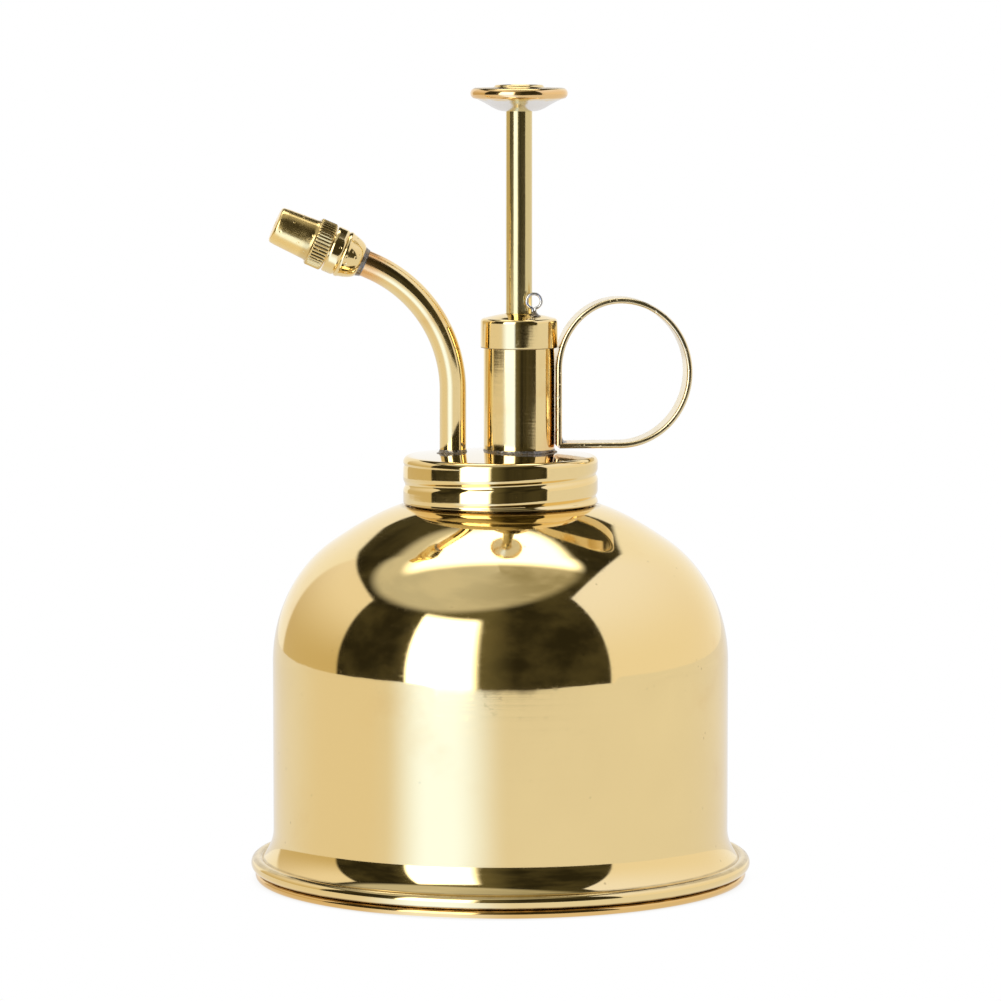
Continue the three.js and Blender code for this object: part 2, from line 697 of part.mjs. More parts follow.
/** The finger loop: a flat strip that runs up the barrel, over in an oval, and back along the cap. */
function fingerLoop() {
  const shape = loopOutline(new THREE.Shape(), LOOP.thick / 2);
  shape.holes.push(loopOutline(new THREE.Path(), -LOOP.thick / 2));
  return new THREE.ExtrudeGeometry(shape, { depth: LOOP.width, bevelEnabled: false, curveSegments: 12 })
    .rotateX(Math.PI / 2)
    .translate(0, LOOP.width / 2, 0);
}

function buildNozzle(spout) {
  const nozzle = new THREE.Group();
  const end = spout.getPoint(1);
  const overlap = 4.4; // how much of the spout is inside the nozzle body
  nozzle.rotation.y = NOZZLE_TILT - Math.PI / 2;
  const along = p3(-Math.cos(NOZZLE_TILT), 0, Math.sin(NOZZLE_TILT));
  nozzle.position.copy(end).addScaledVector(along, -overlap);
  piece(nozzle, "nozzle_body", nozzleBody(), turnedBrass);
  piece(nozzle, "nozzle_o_ring", oRing(NOZZLE.stubR + 0.05, 0.35, NOZZLE.stubEnd - 1.8), rubber);
  piece(nozzle, "swirl_core", swirlCore(), turnedBrass);
  piece(nozzle, "nozzle_washer", ring(NOZZLE.stubR - 0.4, 1.1, WASHER.z0, WASHER.z1), rubber);
  piece(nozzle, "nozzle_tip", nozzleTip(), turnedBrass);
  return nozzle;
}

function buildPump() {
  const pump = new THREE.Group();
  pump.position.x = PUMP_X;
  piece(pump, "pump_barrel", ring(BARREL.r, BARREL.bore, BARREL.z0, BARREL.z1), brass);
  piece(pump, "gland_cap", glandCap(), brass);
  piece(pump, "gland_bush", glandBush(), nylon);
  piece(pump, "gland_packing", glandPacking(), felt);
  piece(pump, "split_pin", splitPin(), steel);
  piece(pump, "thumb_knob", thumbKnob(), turnedBrass);
  piece(pump, "plunger_rod", plungerRod(), brass);
  piece(pump, "piston", piston(), turnedBrass);
  piece(pump, "piston_screw", pistonScrew(), steel);
  piece(pump, "piston_ring_lower", oRing(BARREL.bore - 0.05, O_RING, GROOVE_Z[0]), rubber);
  piece(pump, "piston_ring_upper", oRing(BARREL.bore - 0.05, O_RING, GROOVE_Z[1]), rubber);
  piece(pump, "return_spring", returnSpring(), steel);
  return pump;
}

function buildCap() {
  const cap = new THREE.Group();
  const spout = spoutPath();
  piece(cap, "cap_gasket", capGasket(), rubber);
  piece(cap, "cap_shell", capShell(), brass);
  piece(cap, "spout_tube", swept(spout, SPOUT.r, SPOUT.bore, 18, 6), brass);
  piece(cap, "finger_loop", fingerLoop(), brass);
  piece(cap, "valve_body", valveBody(), turnedBrass);
  piece(cap, "ball_stop_pin", ballStopPin(), steel);
  piece(cap, "passage_plug", passagePlug(), turnedBrass);
  piece(
    cap,
    "suction_ball",
    new THREE.SphereGeometry(SUCTION.ballR, 16, 10).translate(PUMP_X, 0, SUCTION.ballZ),
    steel,
  );
  piece(
    cap,
    "delivery_ball",
    new THREE.SphereGeometry(DELIVERY.ballR, 16, 10).translate(SPOUT_X, 0, DELIVERY.ballZ),
    steel,
  );
  piece(
    cap,
    "delivery_pipe",
    ring(SPOUT.bore - SEAT_GAP, 1.35, DELIVERY.pipeZ, SPOUT.z0 + 4).translate(SPOUT_X, 0, 0),
    brass,
  );
  piece(
    cap,
    "dip_tube",
    ring(DIP_R, 1.4, STRAINER.z0 + 3.4, VALVE.z0 + DIP_IN - SEAT_GAP).translate(PUMP_X, 0, 0),
    nylon,
  );
  piece(cap, "strainer", strainer(), nylon);
  cap.add(buildPump(), buildNozzle(spout));
  return cap;
}

mister.add(buildTank(), buildCap());

export default mister;
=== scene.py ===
# The looks of a brass hand mister for plants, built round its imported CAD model.
#
# Outlines are in millimetres, as [radius, height] pairs for turned pieces; +Z is up, the spout points
# to -X and the finger loop to +X. They are scaled to metres when a mesh is made.

import math

import bpy
from mathutils import Matrix, Vector


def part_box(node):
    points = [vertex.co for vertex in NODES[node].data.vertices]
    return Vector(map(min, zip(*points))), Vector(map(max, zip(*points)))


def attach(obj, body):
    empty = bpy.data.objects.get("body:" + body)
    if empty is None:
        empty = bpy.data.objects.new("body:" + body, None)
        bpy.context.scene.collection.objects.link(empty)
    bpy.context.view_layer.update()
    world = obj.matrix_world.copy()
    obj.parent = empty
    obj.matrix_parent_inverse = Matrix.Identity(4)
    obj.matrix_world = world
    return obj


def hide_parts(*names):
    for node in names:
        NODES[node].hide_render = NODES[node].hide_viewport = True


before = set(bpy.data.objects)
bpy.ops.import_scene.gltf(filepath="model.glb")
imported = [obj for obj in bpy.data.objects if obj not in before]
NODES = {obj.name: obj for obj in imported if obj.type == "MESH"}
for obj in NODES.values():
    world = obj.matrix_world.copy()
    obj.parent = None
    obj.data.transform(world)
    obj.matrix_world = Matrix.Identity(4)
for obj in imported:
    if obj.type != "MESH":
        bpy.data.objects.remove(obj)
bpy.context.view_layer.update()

MM = 0.001
TURN = 2 * math.pi
SMOOTH_ANGLE = math.radians(38)  # edges sharper than this stay sharp
CAMERA_TURN = -5  # degrees the camera stands round from -Y
AXIS_R = 1e-6  # a point nearer the axis than this, in millimetres, is on it


# ---------------------------------------------------------------- dimensions, in millimetres

def box_mm(node):
    """The lowest and highest corners of a CAD node."""
    low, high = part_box(node)
    return [value / MM for value in low], [value / MM for value in high]


BARREL_LOW, BARREL_HIGH = box_mm("pump_barrel")
ROD_LOW, ROD_HIGH = box_mm("plunger_rod")
KNOB_LOW, KNOB_HIGH = box_mm("thumb_knob")
GLAND_LOW, GLAND_HIGH = box_mm("gland_cap")
CAP_LOW, CAP_HIGH = box_mm("cap_shell")
NECK_LOW, NECK_HIGH = box_mm("neck_ring")

PUMP_X = (BARREL_LOW[0] + BARREL_HIGH[0]) / 2
PUMP_CENTRE = (PUMP_X, 0)
BARREL_R = BARREL_HIGH[1]
ROD_R = ROD_HIGH[1]
KNOB_R = KNOB_HIGH[1]
GLAND_R = GLAND_HIGH[1]
WALL_R = 45.5
SHEET = 0.8
SHOULDER = {"z": 43.7, "reach": 25, "rise": 28, "end": 58.7}  # oval from the wall inwards
SEAT = {"r": 19.5, "z": 75, "slope": -0.3}  # flat seat round the mouth, and the slope up to it
FLARE = {"r": 8.4, "z": 10, "end": 42.7}
BEAD = {"r": 48.6, "z": 3.2, "round": 1.4}
HEM = {"r": 48.3, "z": 0.85, "round": 0.85}
FLARE_CREASE_Z = 4.35  # where the flare meets the bead
HEM_JOINT_Z = 1.95  # where the bead sits on the base's hem
NECK_BORE_R = 15.5

PITCH = 4.4
THREAD_DEPTH = 0.7
OUTER_GROOVE = 0.38  # the same thread seen from outside the sheet
THREAD_Z = 80.2  # height of the groove on the -Y side
CAP_R = 19.4
CAP_SHEET = 0.7
CAP_EDGE_Z = 84.8
CAP_RISE = 1

SPOUT_X = -9.5
SPOUT = {"r": 2.65, "z0": 80, "bend_z": 97.9, "bend_r": 27, "straight": 6.8}
NOZZLE_TILT = math.radians(23.7)
NOZZLE_ALONG = Vector((-math.cos(NOZZLE_TILT), 0, math.sin(NOZZLE_TILT)))
NOZZLE_BACK = Vector((-27.845, 0, 123.587))  # where the nozzle's own axis starts
# Along the nozzle's axis from there: the end of the fixed half, the tip's grip, and the tip's end.
NOZZLE = {"joint": 6.6, "grip_z0": 6.85, "grip_z1": 10.3, "grip_r": 4.85, "front_r": 3.7, "end": 18.4}
TEETH = 44
TOOTH_DEPTH = 0.22
LOOP = {"x": 23.7, "z": 101.3, "out": 13.8, "rise": 14.4, "near_z": 102, "thick": 1.1, "width": 7.5}
STRIP_X = BARREL_HIGH[0] + 0.1  # the barrel's side of the finger loop's strip
PIN = {"x": PUMP_X + 2.7, "y": -3, "wire": 0.3, "eye_z": 115.7, "eye_r": 1.45}
KNOB_RIM = {"z": 156.7, "half": 1.1}  # height of the thumb knob's rim, and half its thickness


# ---------------------------------------------------------------- outlines

def arc(r, z, radius, start, end, steps, radius_z=None):
    """Points on an arc, or an oval if radius_z is given, between two angles in degrees."""
    points = []
    for step in range(steps + 1):
        angle = math.radians(start + (end - start) * step / steps)
        points.append((r + radius * math.cos(angle), z + (radius_z or radius) * math.sin(angle)))
    return points


def rounded(corners, steps=8):
    """A closed outline from [r, z, fillet] corners, with an arc in place of each corner."""
    points = []
    for index, (r, z, fillet) in enumerate(corners):
        corner = Vector((r, z))
        back = Vector(corners[index - 1][:2]) - corner
        on = Vector(corners[(index + 1) % len(corners)][:2]) - corner
        if fillet == 0:
            points.append((r, z))
            continue
        half = back.angle(on) / 2
        cut = min(fillet / math.tan(half), 0.48 * back.length, 0.48 * on.length)
        radius = cut * math.tan(half)
        middle_way = (back.normalized() + on.normalized()).normalized()
        centre = corner + middle_way * radius / math.sin(half)
        first = corner + back.normalized() * cut - centre
        last = corner + on.normalized() * cut - centre
        for step in range(steps + 1):
            spoke = first.slerp(last, step / steps) * radius
            points.append((centre.x + spoke.x, centre.y + spoke.y))
    return points


def hermite(start, end, slope_in, slope_out, steps):
    """A smooth curve between two [r, z] points with a given dz/dr at each end."""
    points = []
    run = end[0] - start[0]
    for step in range(steps + 1):
        t = step / steps
        z = (
            (2 * t**3 - 3 * t**2 + 1) * start[1]
            + (t**3 - 2 * t**2 + t) * run * slope_in
            + (3 * t**2 - 2 * t**3) * end[1]
            + (t**3 - t**2) * run * slope_out
        )
        points.append((start[0] + run * t, z))
    return points


def dense(outline, step):
    """The outline with extra points, so that no straight part is longer than step."""
    points = []
    for here, there in zip(outline, outline[1:] + outline[:1]):
        gap = math.dist(here, there)
        count = max(1, math.ceil(gap / step))
        for index in range(count):
            t = index / count
            points.append((here[0] + (there[0] - here[0]) * t, here[1] + (there[1] - here[1]) * t))
    return points


# ---------------------------------------------------------------- meshes

def make_object(name, vertices, faces, material):
    """An object from vertices in millimetres, smooth except over sharp edges."""
    mesh = bpy.data.meshes.new(name)
    mesh.from_pydata([Vector(v) * MM for v in vertices], [], faces)
    mesh.validate()
    mesh.shade_smooth()
    mesh.set_sharp_from_angle(angle=SMOOTH_ANGLE)
    mesh.materials.append(material)
    obj = bpy.data.objects.new(name, mesh)
    bpy.context.scene.collection.objects.link(obj)
    return obj


def grid_faces(rows, closed):
    """Faces between rows of vertex indexes that each go all the way round, and also from the last
    row to the first if closed. A row of one index is a pole."""
    faces = []
    pairs = list(zip(rows, rows[1:]))
    if closed:
        pairs.append((rows[-1], rows[0]))
    for lower, upper in pairs:
        width = max(len(lower), len(upper))
        for index in range(width):
            following = (index + 1) % width
            face = [lower[0]] if len(lower) == 1 else [lower[index], lower[following]]
            face += [upper[0]] if len(upper) == 1 else [upper[following], upper[index]]
            if len(face) > 2:
                faces.append(face)
    return faces


def turned(name, outline, material, centre=(0, 0), segments=192, shape=None, step=1.0, hole=None):
    """A piece turned about an upright axis from an anticlockwise outline.
    shape(angle, r, z) may change a point's radius, and faces whose corners are all in
    hole(point) are left out."""
    vertices = []
    rows = []
    for r, z in dense(outline, step):
        if r < AXIS_R:
            rows.append([len(vertices)])
            vertices.append((centre[0], centre[1], z))
            continue
        rows.append(list(range(len(vertices), len(vertices) + segments)))
        for index in range(segments):
            angle = TURN * index / segments
            radius = shape(angle, r, z) if shape else r
            vertices.append(
                (centre[0] + radius * math.cos(angle), centre[1] + radius * math.sin(angle), z)
            )
    open_at_axis = outline[0][0] < AXIS_R and outline[-1][0] < AXIS_R
    faces = grid_faces(rows, closed=not open_at_axis)
    if hole:
        faces = [face for face in faces if not all(hole(vertices[index]) for index in face)]
    return make_object(name, vertices, faces, material)


def swept(name, path, section, material):
    """A section of [across, outward] points swept along a path of points in an upright plane, with
    both ends closed. outward is to the left of the path."""
    vertices = []
    rows = []
    for before, point, after in zip(path[:1] + path, path, path[1:] + path[-1:]):
        along = (after - before).normalized()
        outward = Vector((-along.z, 0, along.x))
        rows.append(list(range(len(vertices), len(vertices) + len(section))))
        for across, out in section:
            vertices.append(point + outward * out + Vector((0, across, 0)))
    faces = grid_faces(rows, closed=False) + [rows[0][::-1], rows[-1]]
    return make_object(name, vertices, faces, material)


def circle(radius, steps):
    """A section's outline round its own middle."""
    return [
        (radius * math.cos(TURN * step / steps), radius * math.sin(TURN * step / steps))
        for step in range(steps)
    ]


def stand_for(obj, body, slot, *nodes):
    """Makes a piece ride on a body and stand for CAD nodes."""
    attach(obj, body)
    if nodes:
        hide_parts(*nodes)


# ---------------------------------------------------------------- material nodes

class Shader:
    """A node material built with short calls. A value may be a number, a tuple or another node's output."""

    def __init__(self, name, world=None):
        self.material = world or bpy.data.materials.new(name)
        self.material.use_nodes = True
        self.tree = self.material.node_tree
        self.tree.nodes.clear()
        self.output = self.tree.nodes.new("ShaderNodeOutputWorld" if world else "ShaderNodeOutputMaterial")
        self.place = self.node("ShaderNodeTexCoord").outputs["Generated" if world else "Object"]

    def node(self, kind, inputs=None, **settings):
        made = self.tree.nodes.new(kind)
        for key, value in settings.items():
            setattr(made, key, value)
        for key, value in (inputs or {}).items():
            self.feed(made.inputs[key], value)
        return made

    def feed(self, socket, value):
        if isinstance(value, bpy.types.NodeSocket):
            self.tree.links.new(value, socket)
        elif isinstance(value, tuple) and len(value) == 3 and socket.type == "RGBA":
            socket.default_value = (*value, 1)
        else:
            socket.default_value = value

    def math(self, operation, *values):
        made = self.node("ShaderNodeMath", operation=operation)
        for socket, value in zip(made.inputs, values):
            self.feed(socket, value)
        return made.outputs[0]

    def ramp(self, value, low, high, out_low=0.0, out_high=1.0):
        """value from low..high smoothly to out_low..out_high, held outside."""
        made = self.node(
            "ShaderNodeMapRange",
            {"Value": value, "From Min": low, "From Max": high, "To Min": out_low, "To Max": out_high},
            interpolation_type="SMOOTHSTEP",
        )
        return made.outputs["Result"]

    def band(self, value, low, high, soft_low, soft_high):
        """1 between low and high and 0 outside, each edge softened by so much to both its sides."""
        rise = self.ramp(value, low - soft_low, low + soft_low)
        fall = self.ramp(value, high - soft_high, high + soft_high, 1.0, 0.0)
        return self.math("MULTIPLY", rise, fall)

    def mix(self, factor, first, second):
        made = self.node("ShaderNodeMix", data_type="RGBA")
        self.feed(made.inputs[0], factor)
        self.feed(made.inputs[6], first)
        self.feed(made.inputs[7], second)
        return made.outputs[2]

    def scaled(self, scale, shift):
        """The object position stretched and moved for a texture."""
        inputs = {"Vector": self.place, "Location": shift, "Scale": scale}
        return self.node("ShaderNodeMapping", inputs).outputs[0]

    def noise(self, scale, detail=3.0, roughness=0.55, shift=(0, 0, 0)):
        """Noise from 0 to 1. scale is the number of features per metre on each axis."""
        inputs = {
            "Vector": self.scaled(scale, shift),
            "Scale": 1.0,
            "Detail": detail,
            "Roughness": roughness,
        }
        return self.node("ShaderNodeTexNoise", inputs).outputs["Fac"]

    def spots(self, scale, size, shift):
        """1 in small round spots, about one to a cell, 0 between them."""
        made = self.node("ShaderNodeTexVoronoi", {"Vector": self.scaled((scale,) * 3, shift), "Scale": 1.0})
        return self.ramp(made.outputs["Distance"], size * 0.4, size, 1.0, 0.0)

    def bump(self, height, distance, normal=None):
        """The normal over a height of 0 to 1 that stands so many metres out at 1."""
        inputs = {"Height": height, "Distance": distance, "Strength": 1.0}
        if normal is not None:
            inputs["Normal"] = normal
        return self.node("ShaderNodeBump", inputs).outputs[0]

    def height(self):
        """The position's height, in millimetres."""
        parts = self.node("ShaderNodeSeparateXYZ", {0: self.place})
        return self.math("DIVIDE", parts.outputs[2], MM)

    def distance_from(self, point):
        """Distance from a point given in millimetres, in millimetres."""
        target = tuple(value * MM for value in point)
        made = self.node("ShaderNodeVectorMath", {0: self.place, 1: target}, operation="DISTANCE")
        return self.math("DIVIDE", made.outputs["Value"], MM)

    def towards(self, azimuth, elevation=0.0):
        """How far a world shader's direction points towards an azimuth and elevation, -1 to 1."""
        turn = math.radians(azimuth + CAMERA_TURN)
        rise = math.radians(elevation)
        target = (math.cos(rise) * math.sin(turn), -math.cos(rise) * math.cos(turn), math.sin(rise))
        made = self.node("ShaderNodeVectorMath", {0: self.place, 1: target}, operation="DOT_PRODUCT")
        return made.outputs["Value"]

    def principled(self, **inputs):
        """The finished material, from the surface's settings by name."""
        named = {key.replace("_", " ").title(): value for key, value in inputs.items()}
        shader = self.node("ShaderNodeBsdfPrincipled", named)
        self.tree.links.new(shader.outputs[0], self.output.inputs["Surface"])
        return self.material


BRASS = (0.89, 0.69, 0.325)
OLD_BRASS = (0.80, 0.52, 0.19)
NOZZLE_BRASS = (0.93, 0.69, 0.28)
LOOP_BRASS = (0.84, 0.70, 0.42)
COPPER_TINT = (0.82, 0.44, 0.16)
VIOLET_TINT = (0.42, 0.26, 0.24)
# dark brown: dirt in pits and on the grip, and painted shade in crevices
GRIME_AND_SHADE = (0.16, 0.10, 0.035)
# painted reflection: the knob's underside whitened for the white floor it mirrors at a grazing angle
FLOOR_REFLECTION_SILVER = (0.80, 0.80, 0.79)
RIM_ORANGE = (0.86, 0.55, 0.24)
OVERHEAD_REFLECTION_WHITE = (0.93, 0.90, 0.84)  # painted reflection: the cap's top whitened for the bright light overhead
DRAWN_BRASS = (0.74, 0.60, 0.28)  # not polished as bright as the rest


def brass(
    name, line_scale, roughness, tarnish, ripple=1.0, pits=0.0, tint=BRASS, droop=0, extra=None,
    lines_deep=4e-6,
):
    """Polished brass: faint polishing lines, soft ripples, patches of warmer tarnish and small pits.
    line_scale stretches the polishing lines, which are lines_deep metres deep, droop is how many
    degrees a hand-set tube faces down, and extra(shader, colour, roughness) adds local marks."""
    s = Shader(name)
    patches = s.noise((55, 55, 70), detail=4, shift=(3, 1, 7))
    cloud = s.noise((22, 22, 22), detail=2, shift=(9, 4, 2))
    warm = s.math("MULTIPLY", s.ramp(patches, 0.52, 0.8), s.ramp(cloud, 0.4, 0.7))
    colour = s.mix(s.math("MULTIPLY", warm, tarnish * 2), tint, OLD_BRASS)
    lines = s.noise(line_scale, detail=5, roughness=0.7)
    specks = s.noise((900, 900, 900), detail=2, shift=(5, 5, 5))
    rough = s.math("ADD", roughness, s.math("MULTIPLY", s.ramp(lines, 0.45, 0.8), roughness * 0.9))
    rough = s.math("ADD", rough, s.math("MULTIPLY", s.ramp(specks, 0.6, 0.75), 0.05))
    rough = s.math("ADD", rough, s.math("MULTIPLY", warm, 0.06))
    dark = s.spots(420, 0.16, shift=(0.3, 0.1, 0.7))
    dark = s.math("MULTIPLY", dark, s.ramp(s.noise((130, 130, 130), shift=(1, 8, 3)), 0.56, 0.7))
    colour = s.mix(s.math("MULTIPLY", dark, 0.35), colour, GRIME_AND_SHADE)
    if extra:
        colour, rough = extra(s, colour, rough)
    soft = s.noise((38, 38, 46), detail=1.5, shift=(2, 7, 5))
    normal = s.bump(soft, 0.00022 * ripple)
    normal = s.bump(lines, lines_deep, normal=normal)
    if pits:
        dents = s.spots(700, 0.24, shift=(4, 4, 2))
        normal = s.bump(dents, -0.00006 * pits, normal=normal)
    if droop:
        down = (0, 0, -math.tan(math.radians(droop)))
        normal = s.node("ShaderNodeVectorMath", {0: normal, 1: down}, operation="ADD").outputs[0]
        normal = s.node("ShaderNodeVectorMath", {0: normal}, operation="NORMALIZE").outputs[0]
    return s.principled(base_color=colour, metallic=1.0, roughness=rough, normal=normal)


def crevice_shade(bands):
    """Painted shade darkening the crevices at some heights: bands of [height, half width, strength] in mm.
    """

    def add(s, colour, rough):
        height = s.height()
        wobble = s.noise((260, 260, 40), detail=3)
        for z, half, strength in bands:
            off = s.math("ABSOLUTE", s.math("SUBTRACT", height, z))
            near = s.ramp(off, 0.25 * half, half, 1.0, 0.0)
            near = s.math("MULTIPLY", near, s.ramp(wobble, 0.3, 0.6, strength * 0.6, strength))
            colour = s.mix(near, colour, GRIME_AND_SHADE)
            rough = s.math("ADD", rough, s.math("MULTIPLY", near, 0.25))
        return colour, rough

    return add


def heat_tint(point, inner, outer, strength):
    """The violet, then orange, that soldering leaves round a point, in mm from it."""

    def add(s, colour, rough):
        ragged = s.math("MULTIPLY", s.noise((420, 420, 420), detail=3, shift=(6, 1, 1)), 3.0)
        away = s.math("ADD", s.distance_from(point), ragged)
        orange = s.ramp(away, inner + 1.5, outer + 1.5, strength, 0.0)
        colour = s.mix(orange, colour, COPPER_TINT)
        violet = s.ramp(away, inner, inner + 2.4, strength * 0.7, 0.0)
        colour = s.mix(violet, colour, VIOLET_TINT)
        rough = s.math("ADD", rough, s.math("MULTIPLY", orange, 0.12))
        return colour, rough

    return add


def solder():
    """Soft solder: dull dark grey, lumpy, brown with old flux in its hollows."""
    grey, brown, soot = (0.26, 0.25, 0.235), (0.26, 0.20, 0.12), (0.10, 0.085, 0.06)
    s = Shader("solder")
    lumps = s.noise((600, 600, 600), detail=4)
    fine = s.noise((2600, 2600, 2600), detail=3, shift=(2, 2, 2))
    colour = s.mix(s.ramp(lumps, 0.35, 0.7), grey, brown)
    colour = s.mix(s.ramp(fine, 0.62, 0.72, 0, 0.7), colour, soot)
    rough = s.ramp(fine, 0.3, 0.7, 0.22, 0.42)
    normal = s.bump(fine, 0.00004, normal=s.bump(lumps, 0.0004))
    return s.principled(base_color=colour, metallic=1.0, roughness=rough, normal=normal)


def steel(name):
    """Bright drawn steel wire with faint grey patches."""
    bright, grey = (0.72, 0.71, 0.68), (0.55, 0.54, 0.52)
    s = Shader(name)
    drawn = s.noise((900, 900, 900), detail=4)
    colour = s.mix(s.ramp(drawn, 0.4, 0.7), bright, grey)
    rough = s.ramp(drawn, 0.3, 0.7, 0.12, 0.26)
    return s.principled(base_color=colour, metallic=1.0, roughness=rough, normal=s.bump(drawn, 0.00001))


def rubber():
    """Black rubber, dull, with a fine grain and a grey bloom."""
    black, grey = (0.012, 0.012, 0.013), (0.045, 0.044, 0.042)
    s = Shader("rubber")
    grain = s.noise((2200, 2200, 2200), detail=4)
    bloom = s.noise((180, 180, 180), detail=3, shift=(1, 2, 3))
    colour = s.mix(s.ramp(bloom, 0.45, 0.75), black, grey)
    rough = s.ramp(grain, 0.3, 0.7, 0.5, 0.72)
    return s.principled(base_color=colour, roughness=rough, normal=s.bump(grain, 0.00003))


def felt():
    """Greased felt: matted fibres, off white with darker tufts."""
    pale, brown, dark = (0.62, 0.55, 0.43), (0.36, 0.30, 0.21), (0.20, 0.16, 0.10)
    s = Shader("felt")
    fibres = s.noise((1400, 1400, 5200), detail=6, roughness=0.75)
    tufts = s.noise((420, 420, 420), detail=3, shift=(4, 0, 0))
    colour = s.mix(s.ramp(fibres, 0.35, 0.7), pale, brown)
    colour = s.mix(s.ramp(tufts, 0.55, 0.75, 0, 0.5), colour, dark)
    normal = s.bump(fibres, 0.0002)
    return s.principled(base_color=colour, roughness=0.95, sheen_weight=0.4, normal=normal)


def nylon():
    """Moulded nylon: milky, slightly translucent, with a satin skin."""
    milky, yellowed = (0.80, 0.78, 0.70), (0.70, 0.67, 0.56)
    s = Shader("nylon")
    skin = s.noise((700, 700, 700), detail=3)
    cloud = s.noise((120, 120, 120), detail=2, shift=(2, 0, 5))
    colour = s.mix(s.ramp(cloud, 0.4, 0.7), milky, yellowed)
    rough = s.ramp(skin, 0.3, 0.7, 0.32, 0.5)
    return s.principled(
        base_color=colour,
        roughness=rough,
        subsurface_weight=0.15,
        subsurface_scale=0.002,
        normal=s.bump(skin, 0.00002),
    )


def turned_brass_inside():
    """Unpolished turned brass of the inner pieces: tool marks and a dull, darker skin."""
    clean, dull = (0.74, 0.53, 0.22), (0.50, 0.33, 0.12)
    s = Shader("turned_brass_inside")
    rings = s.noise((60, 60, 5200), detail=3)
    patches = s.noise((240, 240, 240), detail=4, shift=(1, 5, 2))
    colour = s.mix(s.ramp(patches, 0.4, 0.7), clean, dull)
    rough = s.ramp(rings, 0.3, 0.7, 0.22, 0.38)
    return s.principled(base_color=colour, metallic=1.0, roughness=rough, normal=s.bump(rings, 0.00002))


# ---------------------------------------------------------------- tank

LATHE_LINES = (9, 9, 1500)  # polishing lines round a turned piece


def shoulder_outline(inset, steps):
    """The bell's outline from the edge of the seat down to the wall, or the same moved inwards."""
    reach = SHOULDER["reach"] - inset
    rise = SHOULDER["rise"] - inset
    oval = arc(WALL_R - SHOULDER["reach"], SHOULDER["z"], reach, SHOULDER["end"], 0, steps, radius_z=rise)
    slope = -rise / reach / math.tan(math.radians(SHOULDER["end"]))
    edge = (SEAT["r"] - inset / 2, SEAT["z"] - inset)
    return hermite(edge, oval[0], SEAT["slope"], slope, 24) + oval[1:]


def build_bell():
    """The spun bell, from the seat over the shoulder, down the wall and flare to the bead."""
    flare_r = WALL_R + FLARE["r"]
    flare_end = 180 + FLARE["end"]
    mouth_r = NECK_BORE_R + 0.9
    seat_edge = 0.25
    outline = (
        [(mouth_r, SEAT["z"])]
        + arc(SEAT["r"] - seat_edge, SEAT["z"] - seat_edge, seat_edge, 90, 50, 6)
        + shoulder_outline(0, 80)[1:]
        + arc(flare_r, FLARE["z"], FLARE["r"], 180, flare_end, 30)
        + arc(BEAD["r"], BEAD["z"], BEAD["round"], 120, -160, 44)
        + arc(flare_r, FLARE["z"], FLARE["r"] + SHEET, flare_end, 180, 16)
        + shoulder_outline(SHEET, 30)[::-1]
        + [(mouth_r, SEAT["z"] - SHEET)]
    )
    # Painted shade darkens the flare's crease, the hem joint and the edge of the seat.
    marks = crevice_shade([(FLARE_CREASE_Z, 0.4, 0.5), (HEM_JOINT_Z, 0.5, 0.9), (SEAT["z"], 0.25, 0.4)])
    material = brass(
        "brass_bell", LATHE_LINES, roughness=0.05, tarnish=0.35, ripple=0.35, extra=marks, lines_deep=1.2e-6
    )
    bell = turned("bell", outline[::-1], material, segments=360)
    stand_for(bell, "tank", "sheet_brass", "tank_shell")


def build_foot():
    """The base plate: a hem rolled under the bead, and a raised floor."""
    floor_z = 2.2
    rise_r = BEAD["r"] - BEAD["round"] - 0.6
    slope_r = rise_r - 2.2
    outline = (
        [(0, floor_z + 0.25), (slope_r * 0.6, floor_z + 0.2), (slope_r, floor_z)]
        + [(rise_r, HEM["z"] - 0.3)]
        + arc(HEM["r"], HEM["z"], HEM["round"], -150, 90, 32)
        + [(rise_r, HEM["z"] + HEM["round"]), (slope_r - 0.2, floor_z + SHEET), (0, floor_z + SHEET)]
    )
    # Painted shade darkens the hem joint.
    marks = crevice_shade([(HEM_JOINT_Z, 0.45, 0.9)])
    material = brass("brass_foot", LATHE_LINES, roughness=0.07, tarnish=0.9, tint=OLD_BRASS, extra=marks)
    foot = turned("foot", outline, material, segments=360, step=2)
    stand_for(foot, "tank", "sheet_brass", "base_plate")


def fade(z, low, high, width):
    """1 between low and high, falling smoothly to 0 over width inside each end."""

    def step(value):
        t = min(1, max(0, value))
        return t * t * (3 - 2 * t)

    return step((z - low) / width) * step((high - z) / width)


def groove(angle, z):
    """The rolled thread: 1 on its groove line, 0 between its turns."""
    around = (angle + TURN / 4 + TURN / 2) % TURN - TURN / 2
    climb = PITCH * around / TURN
    return (0.5 + 0.5 * math.cos(TURN * (z - THREAD_Z - climb) / PITCH)) ** 5


